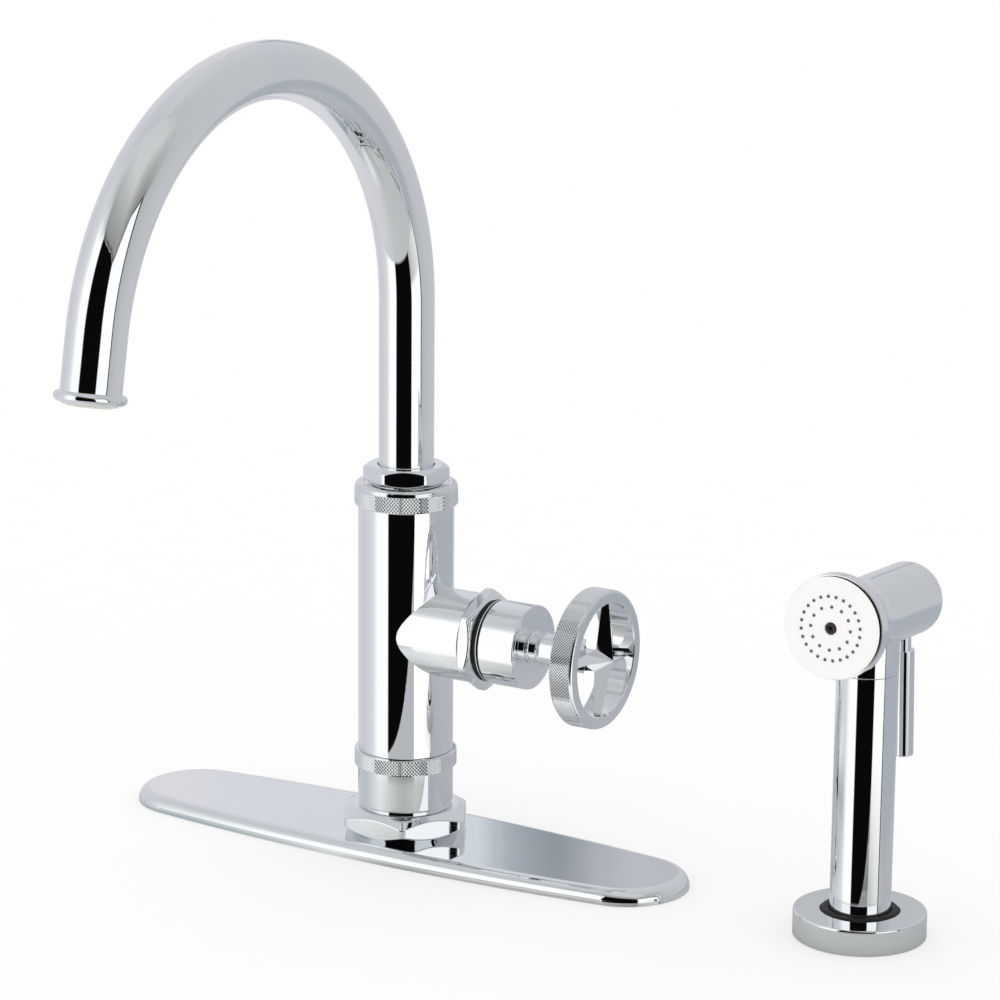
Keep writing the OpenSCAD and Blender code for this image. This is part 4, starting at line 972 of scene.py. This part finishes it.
holder = lathe("holder_body", [
    (HOLDER_BORE, 0), (GASKET_IN_R, 0), (GASKET_IN_R, GASKET_UP), (GASKET_OUT_R, GASKET_UP), (GASKET_OUT_R, 0),
    (HOLDER_R - 0.2, 0), (HOLDER_R, 0.2),
    (HOLDER_R, HOLDER_H - 0.8), (HOLDER_R - 0.1, HOLDER_H - 0.4), (HOLDER_R - 0.35, HOLDER_H - 0.1),
    (HOLDER_R - 0.8, HOLDER_H), (15.3, HOLDER_H), (15.1, HOLDER_H - 0.2), (15.1, BUSH_FLOOR),
    (HOLDER_BORE, BUSH_FLOOR)], 256)
by_faucet(holder)
fit(holder, "chrome", "faucet", "holder_base")
lip = arc(GRIP_R + 1.2, HOLDER_H, LIP_R - GRIP_R - 1.2, 0.7, range(0, 91, 9))
bush = lathe("holder_rubber_ring", [
    (BUSH_BORE, BUSH_FLOOR), (15.0, BUSH_FLOOR), (15.0, HOLDER_H - 0.6), (LIP_R, HOLDER_H - 0.4), *lip,
    (GRIP_R + 0.4, HOLDER_H + 0.45), (GRIP_R + 0.2, HOLDER_H + 0.1), (GRIP_R + 0.2, GRIP_FOOT),
    (BUSH_BORE, GRIP_FOOT)], 160)
by_faucet(bush)
fit(bush, "rubber", "faucet", "holder_bush")

# %% Sprayer's handle
SEAM_Z, GRIP_BORE, FOOT_BORE, GRIP_FLOOR = 103.2, 10.6, 9.2, 7.8
grip = lathe("sprayer_handle_tube", [
    (FOOT_BORE, GRIP_FOOT), (GRIP_R - 0.4, GRIP_FOOT), (GRIP_R - 0.1, GRIP_FOOT + 0.1),
    (GRIP_R, GRIP_FOOT + 0.4), (GRIP_R, 55), (GRIP_R, SEAM_Z - 0.3), (GRIP_R - 0.1, SEAM_Z - 0.08),
    (GRIP_R - 0.35, SEAM_Z),
    (GRIP_BORE, SEAM_Z), (GRIP_BORE, GRIP_FLOOR), (FOOT_BORE, GRIP_FLOOR)], 192)
by_faucet(grip)
fit(grip, "chrome", "sprayer", "sprayer_tube")

# %% [markdown]
# ## Spray head
#
# The head is a stubby horn that flares towards the spray face and sits on a short neck, tipped up a little. The
# flare is one arc of a large circle. Neck and horn are turned on their own axes and joined, and then the
# cavity, the slot for the lever and the hole for its pin are cut.

# %% Horn on its neck
HEAD_Z, HEAD_R, HEAD_BACK = 125.5, 14.0, 36.35
BELL_START, BELL_LIP, BELL_D, BELL_R = 3.0, 25.0, 30.2, 19.6
HEAD_TILT = 3
HEAD_TURN = about("X", 90 - HEAD_TILT)
HEAD_SPOT = (SPRAY_X, 0, HEAD_Z)
BELL_ARC = ((BELL_LIP - BELL_START) ** 2 + (BELL_R - HEAD_R) ** 2) / (2 * (BELL_R - HEAD_R))


def in_head(piece):
    """Puts a piece that was turned about Z on the horn's axis."""
    return settle(piece, HEAD_SPOT, HEAD_TURN)


back_round = arc(HEAD_R - 3, -HEAD_BACK + 3, 3, 3, range(-90, 1, 9))
flare = [(HEAD_R + BELL_ARC - math.sqrt(BELL_ARC ** 2 - d * d), BELL_START + d)
         for d in ((BELL_LIP - BELL_START) * k / 24 for k in range(25))]
head = lathe("sprayer_head_horn", [
    (0, -HEAD_BACK), *back_round, *flare, (BELL_R, BELL_D - 0.4), (BELL_R - 0.12, BELL_D - 0.1),
    (BELL_R - 0.4, BELL_D), (0, BELL_D)], 224)
in_head(head)
neck = lathe("neck", [
    (0, SEAM_Z), (GRIP_R - 0.35, SEAM_Z), (GRIP_R - 0.1, SEAM_Z + 0.08), (GRIP_R, SEAM_Z + 0.3),
    (GRIP_R, HEAD_Z - 3), (0, HEAD_Z - 3)], 224)
by_faucet(neck)
combine(head, neck, "UNION")
print("horn is", round(head.dimensions.y / MM, 1), "mm long")

# %% Cavity, lever slot and pin hole
PIVOT_BACK, PIVOT_UP = 29.3, 6.5
SLOT_R, PIN_R, LEVER_SWING = 3.2, 1.55, 6
CAVITY_R, CAVITY_BACK, FRONT_R, FRONT_BACK, NECK_BORE = 11.8, -35.0, 16.4, 22.2, 9.4
swing = (PIVOT_UP + HEAD_R) * math.tan(math.radians(LEVER_SWING))
slot_back, slot_front = -PIVOT_BACK - swing, -PIVOT_BACK + swing
combine(head, in_head(rod(CAVITY_R, CAVITY_BACK, BELL_D + 1, 128)))
combine(head, in_head(rod(FRONT_R, FRONT_BACK, BELL_D + 1, 128)))
combine(head, by_faucet(rod(NECK_BORE, SEAM_Z - 1, HEAD_Z - 7.5, 96)))
DOWN = about("X", 90)
for along in (slot_back, slot_front):
    slot_end = settle(rod(SLOT_R, 0, HEAD_R + 2, 48), (0, 0, along), DOWN)
    combine(head, in_head(slot_end))
bpy.ops.mesh.primitive_cube_add(size=1)
between = bpy.context.object
between.scale = Vector((2 * SLOT_R, HEAD_R, slot_front - slot_back)) * MM
settle(between, (0, -HEAD_R / 2 - 2, (slot_back + slot_front) / 2))
combine(head, in_head(between))
pin_hole = settle(rod(PIN_R, -10.9, 10.9, 48), (0, PIVOT_UP, -PIVOT_BACK), ON_VALVE)
combine(head, in_head(pin_hole))
fit(head, "chrome", "sprayer", "sprayer_head")

# %% [markdown]
# ## Spray face and nozzles
#
# A white disc closes the horn, over a thin black seal. Two circles of soft grey nozzles come through it, each a
# small rubber nub that can be rubbed clean, round one dark jet in the middle. One nub is modelled, and copies
# of its mesh are set out on the circles.

# %% Black seal and white face
FACE_D, FACE_T, FACE_R, SEAL_BORE = 31.4, 1.25, 19.0, 16.5
SKIRT_IN, SKIRT_OUT, SKIRT_D = 14.5, 16.1, 25.3
NUB_R, JET_HOLE_R = 0.6, 2.3
seal = lathe("face_black_seal", [
    (SEAL_BORE, BELL_D), (FACE_R - 0.25, BELL_D), (FACE_R - 0.1, BELL_D + 0.15), (FACE_R - 0.1, FACE_D - 0.15),
    (FACE_R - 0.25, FACE_D), (SEAL_BORE, FACE_D)], 192)
in_head(seal)
fit(seal, "rubber", "sprayer", "face_seal")
face = lathe("spray_face_disc", [
    (JET_HOLE_R, FACE_D), (SKIRT_IN, FACE_D), (SKIRT_IN, SKIRT_D), (SKIRT_OUT, SKIRT_D), (SKIRT_OUT, FACE_D),
    (FACE_R, FACE_D),
    (FACE_R, FACE_D + 0.5), (FACE_R - 0.08, FACE_D + 0.85), (FACE_R - 0.3, FACE_D + 1.12),
    (FACE_R - 0.7, FACE_D + FACE_T), (JET_HOLE_R + 0.2, FACE_D + FACE_T),
    (JET_HOLE_R, FACE_D + FACE_T - 0.2)], 192)
print("face is", round(face.dimensions.x / MM, 1), "mm across")


# %% Places of the nozzles
def nozzle_places():
    """Outer circle of 24 and inner circle of 12, as (x, y) in mm on the face."""
    rings = ((24, 11.9, 97.5), (12, 8.0, 90.0))
    return [(radius * math.cos(math.radians(first + 360 / count * i)),
             radius * math.sin(math.radians(first + 360 / count * i)))
            for count, radius, first in rings for i in range(count)]


def copies(piece, places):
    """The piece and a copy of its mesh at each place, in mm, joined into one."""
    made = []
    for x, y in places:
        twin = piece.copy()
        twin.data = piece.data.copy()
        bpy.context.collection.objects.link(twin)
        made.append(settle(twin, (x, y, 0)))
    bpy.data.objects.remove(piece)
    activate(made[0])
    for twin in made:
        twin.select_set(True)
    bpy.ops.object.join()
    return made[0]


holes = copies(rod(NUB_R + 0.05, FACE_D - 1, FACE_D + FACE_T + 1, 20), nozzle_places())
combine(face, holes)
in_head(face)
fit(face, "face_white", "sprayer", "spray_face")

# %% Nubs on their mat
nub_top = FACE_D + FACE_T + 0.4
nub = lathe("nub", [
    (0, FACE_D - 0.5), (NUB_R, FACE_D - 0.5), (NUB_R, nub_top - 0.25), (NUB_R - 0.1, nub_top - 0.08),
    (NUB_R - 0.28, nub_top), (0.24, nub_top), (0.2, nub_top - 0.3), (0, nub_top - 0.3)], 20)
nubs = copies(nub, nozzle_places())
MAT_R, MAT_BACK = 14.2, FACE_D - 1.2
mat = lathe("nozzle_mat", [
    (JET_HOLE_R, MAT_BACK), (MAT_R, MAT_BACK), (MAT_R, FACE_D), (JET_HOLE_R, FACE_D)], 96)
combine(mat, nubs, "UNION")
in_head(mat)
fit(mat, "nozzle_grey", "sprayer", "spray_nozzles")

# %% Dark jet in the middle
jet_back, jet_top = FACE_D - 2.4, FACE_D + FACE_T + 0.5
JET_R, JET_FOOT_R, JET_BORE = 2.1, 3.6, 0.6
jet = lathe("centre_jet", [
    (JET_BORE, jet_back), (JET_FOOT_R, jet_back), (JET_FOOT_R, jet_back + 1.2), (JET_R, jet_back + 1.2),
    (JET_R, jet_top - 0.5), (1.95, jet_top - 0.2), (1.7, jet_top), (1.1, jet_top), (0.9, jet_top - 0.5),
    (JET_BORE, jet_top - 0.7)], 48)
for k in range(3):
    bpy.ops.mesh.primitive_cube_add(size=1)
    notch = bpy.context.object
    notch.scale = Vector((0.55, 6, 0.8)) * MM
    combine(jet, settle(notch, (0, 0, jet_top), about("Z", 60 * k)))
in_head(jet)
fit(jet, "nozzle_brown", "sprayer", "centre_nozzle")

# %% [markdown]
# ## Lever
#
# The trigger is a short rod that hangs from a pin in the back of the horn, beside the handle. A thinner neck
# goes up through the slot to an eye on the pin. Squeezing the rod to the handle pushes the valve.

# %% Trigger rod, neck and eye
LEVER_NECK_R, LEVER_TOP, LEVER_R, ROD_SHIFT, EYE_R = 2.9, -26.4, 3.9, 0.7, 3.4
LEVER_END = LEVER_TOP - 42.3
lever = lathe("squeeze_lever", [
    (0, LEVER_END), (LEVER_R - 0.7, LEVER_END), (LEVER_R - 0.2, LEVER_END + 0.2), (LEVER_R, LEVER_END + 0.7),
    (LEVER_R, LEVER_TOP - 0.3), (LEVER_R - 0.1, LEVER_TOP - 0.08), (LEVER_R - 0.3, LEVER_TOP),
    (0, LEVER_TOP)], 96)
settle(lever, (0, ROD_SHIFT, 0))
combine(lever, rod(LEVER_NECK_R, LEVER_TOP - 1, 0, 96), "UNION")
combine(lever, settle(rod(EYE_R, -3, 3, 64), turn=ON_VALVE), "UNION")
combine(lever, settle(rod(PIN_R, -4, 4, 48), turn=ON_VALVE))
settle(lever, (0, PIVOT_UP, -PIVOT_BACK), about("X", LEVER_SWING - 90))
in_head(lever)
fit(lever, "chrome", "lever", "lever")

# %% [markdown]
# ## Cards and pieces
#
# Each card is linked to the pieces that show it, mostly the upright ones whose stripe it ends. All other pieces
# look past it.

# %% Link the cards
for card, names in (
        (faucet_card, ("body_tube", "handwheel_star", "handwheel_rim", "handle_neck_stem", "handle_drum")),
        (sprayer_card, ("sprayer_handle_tube",))):
    group = bpy.data.collections.new(card.name + "_shows_on")
    for name in names:
        group.objects.link(bpy.data.objects[name])
    card.light_linking.receiver_collection = group
    print(card.name, "shows on", names)
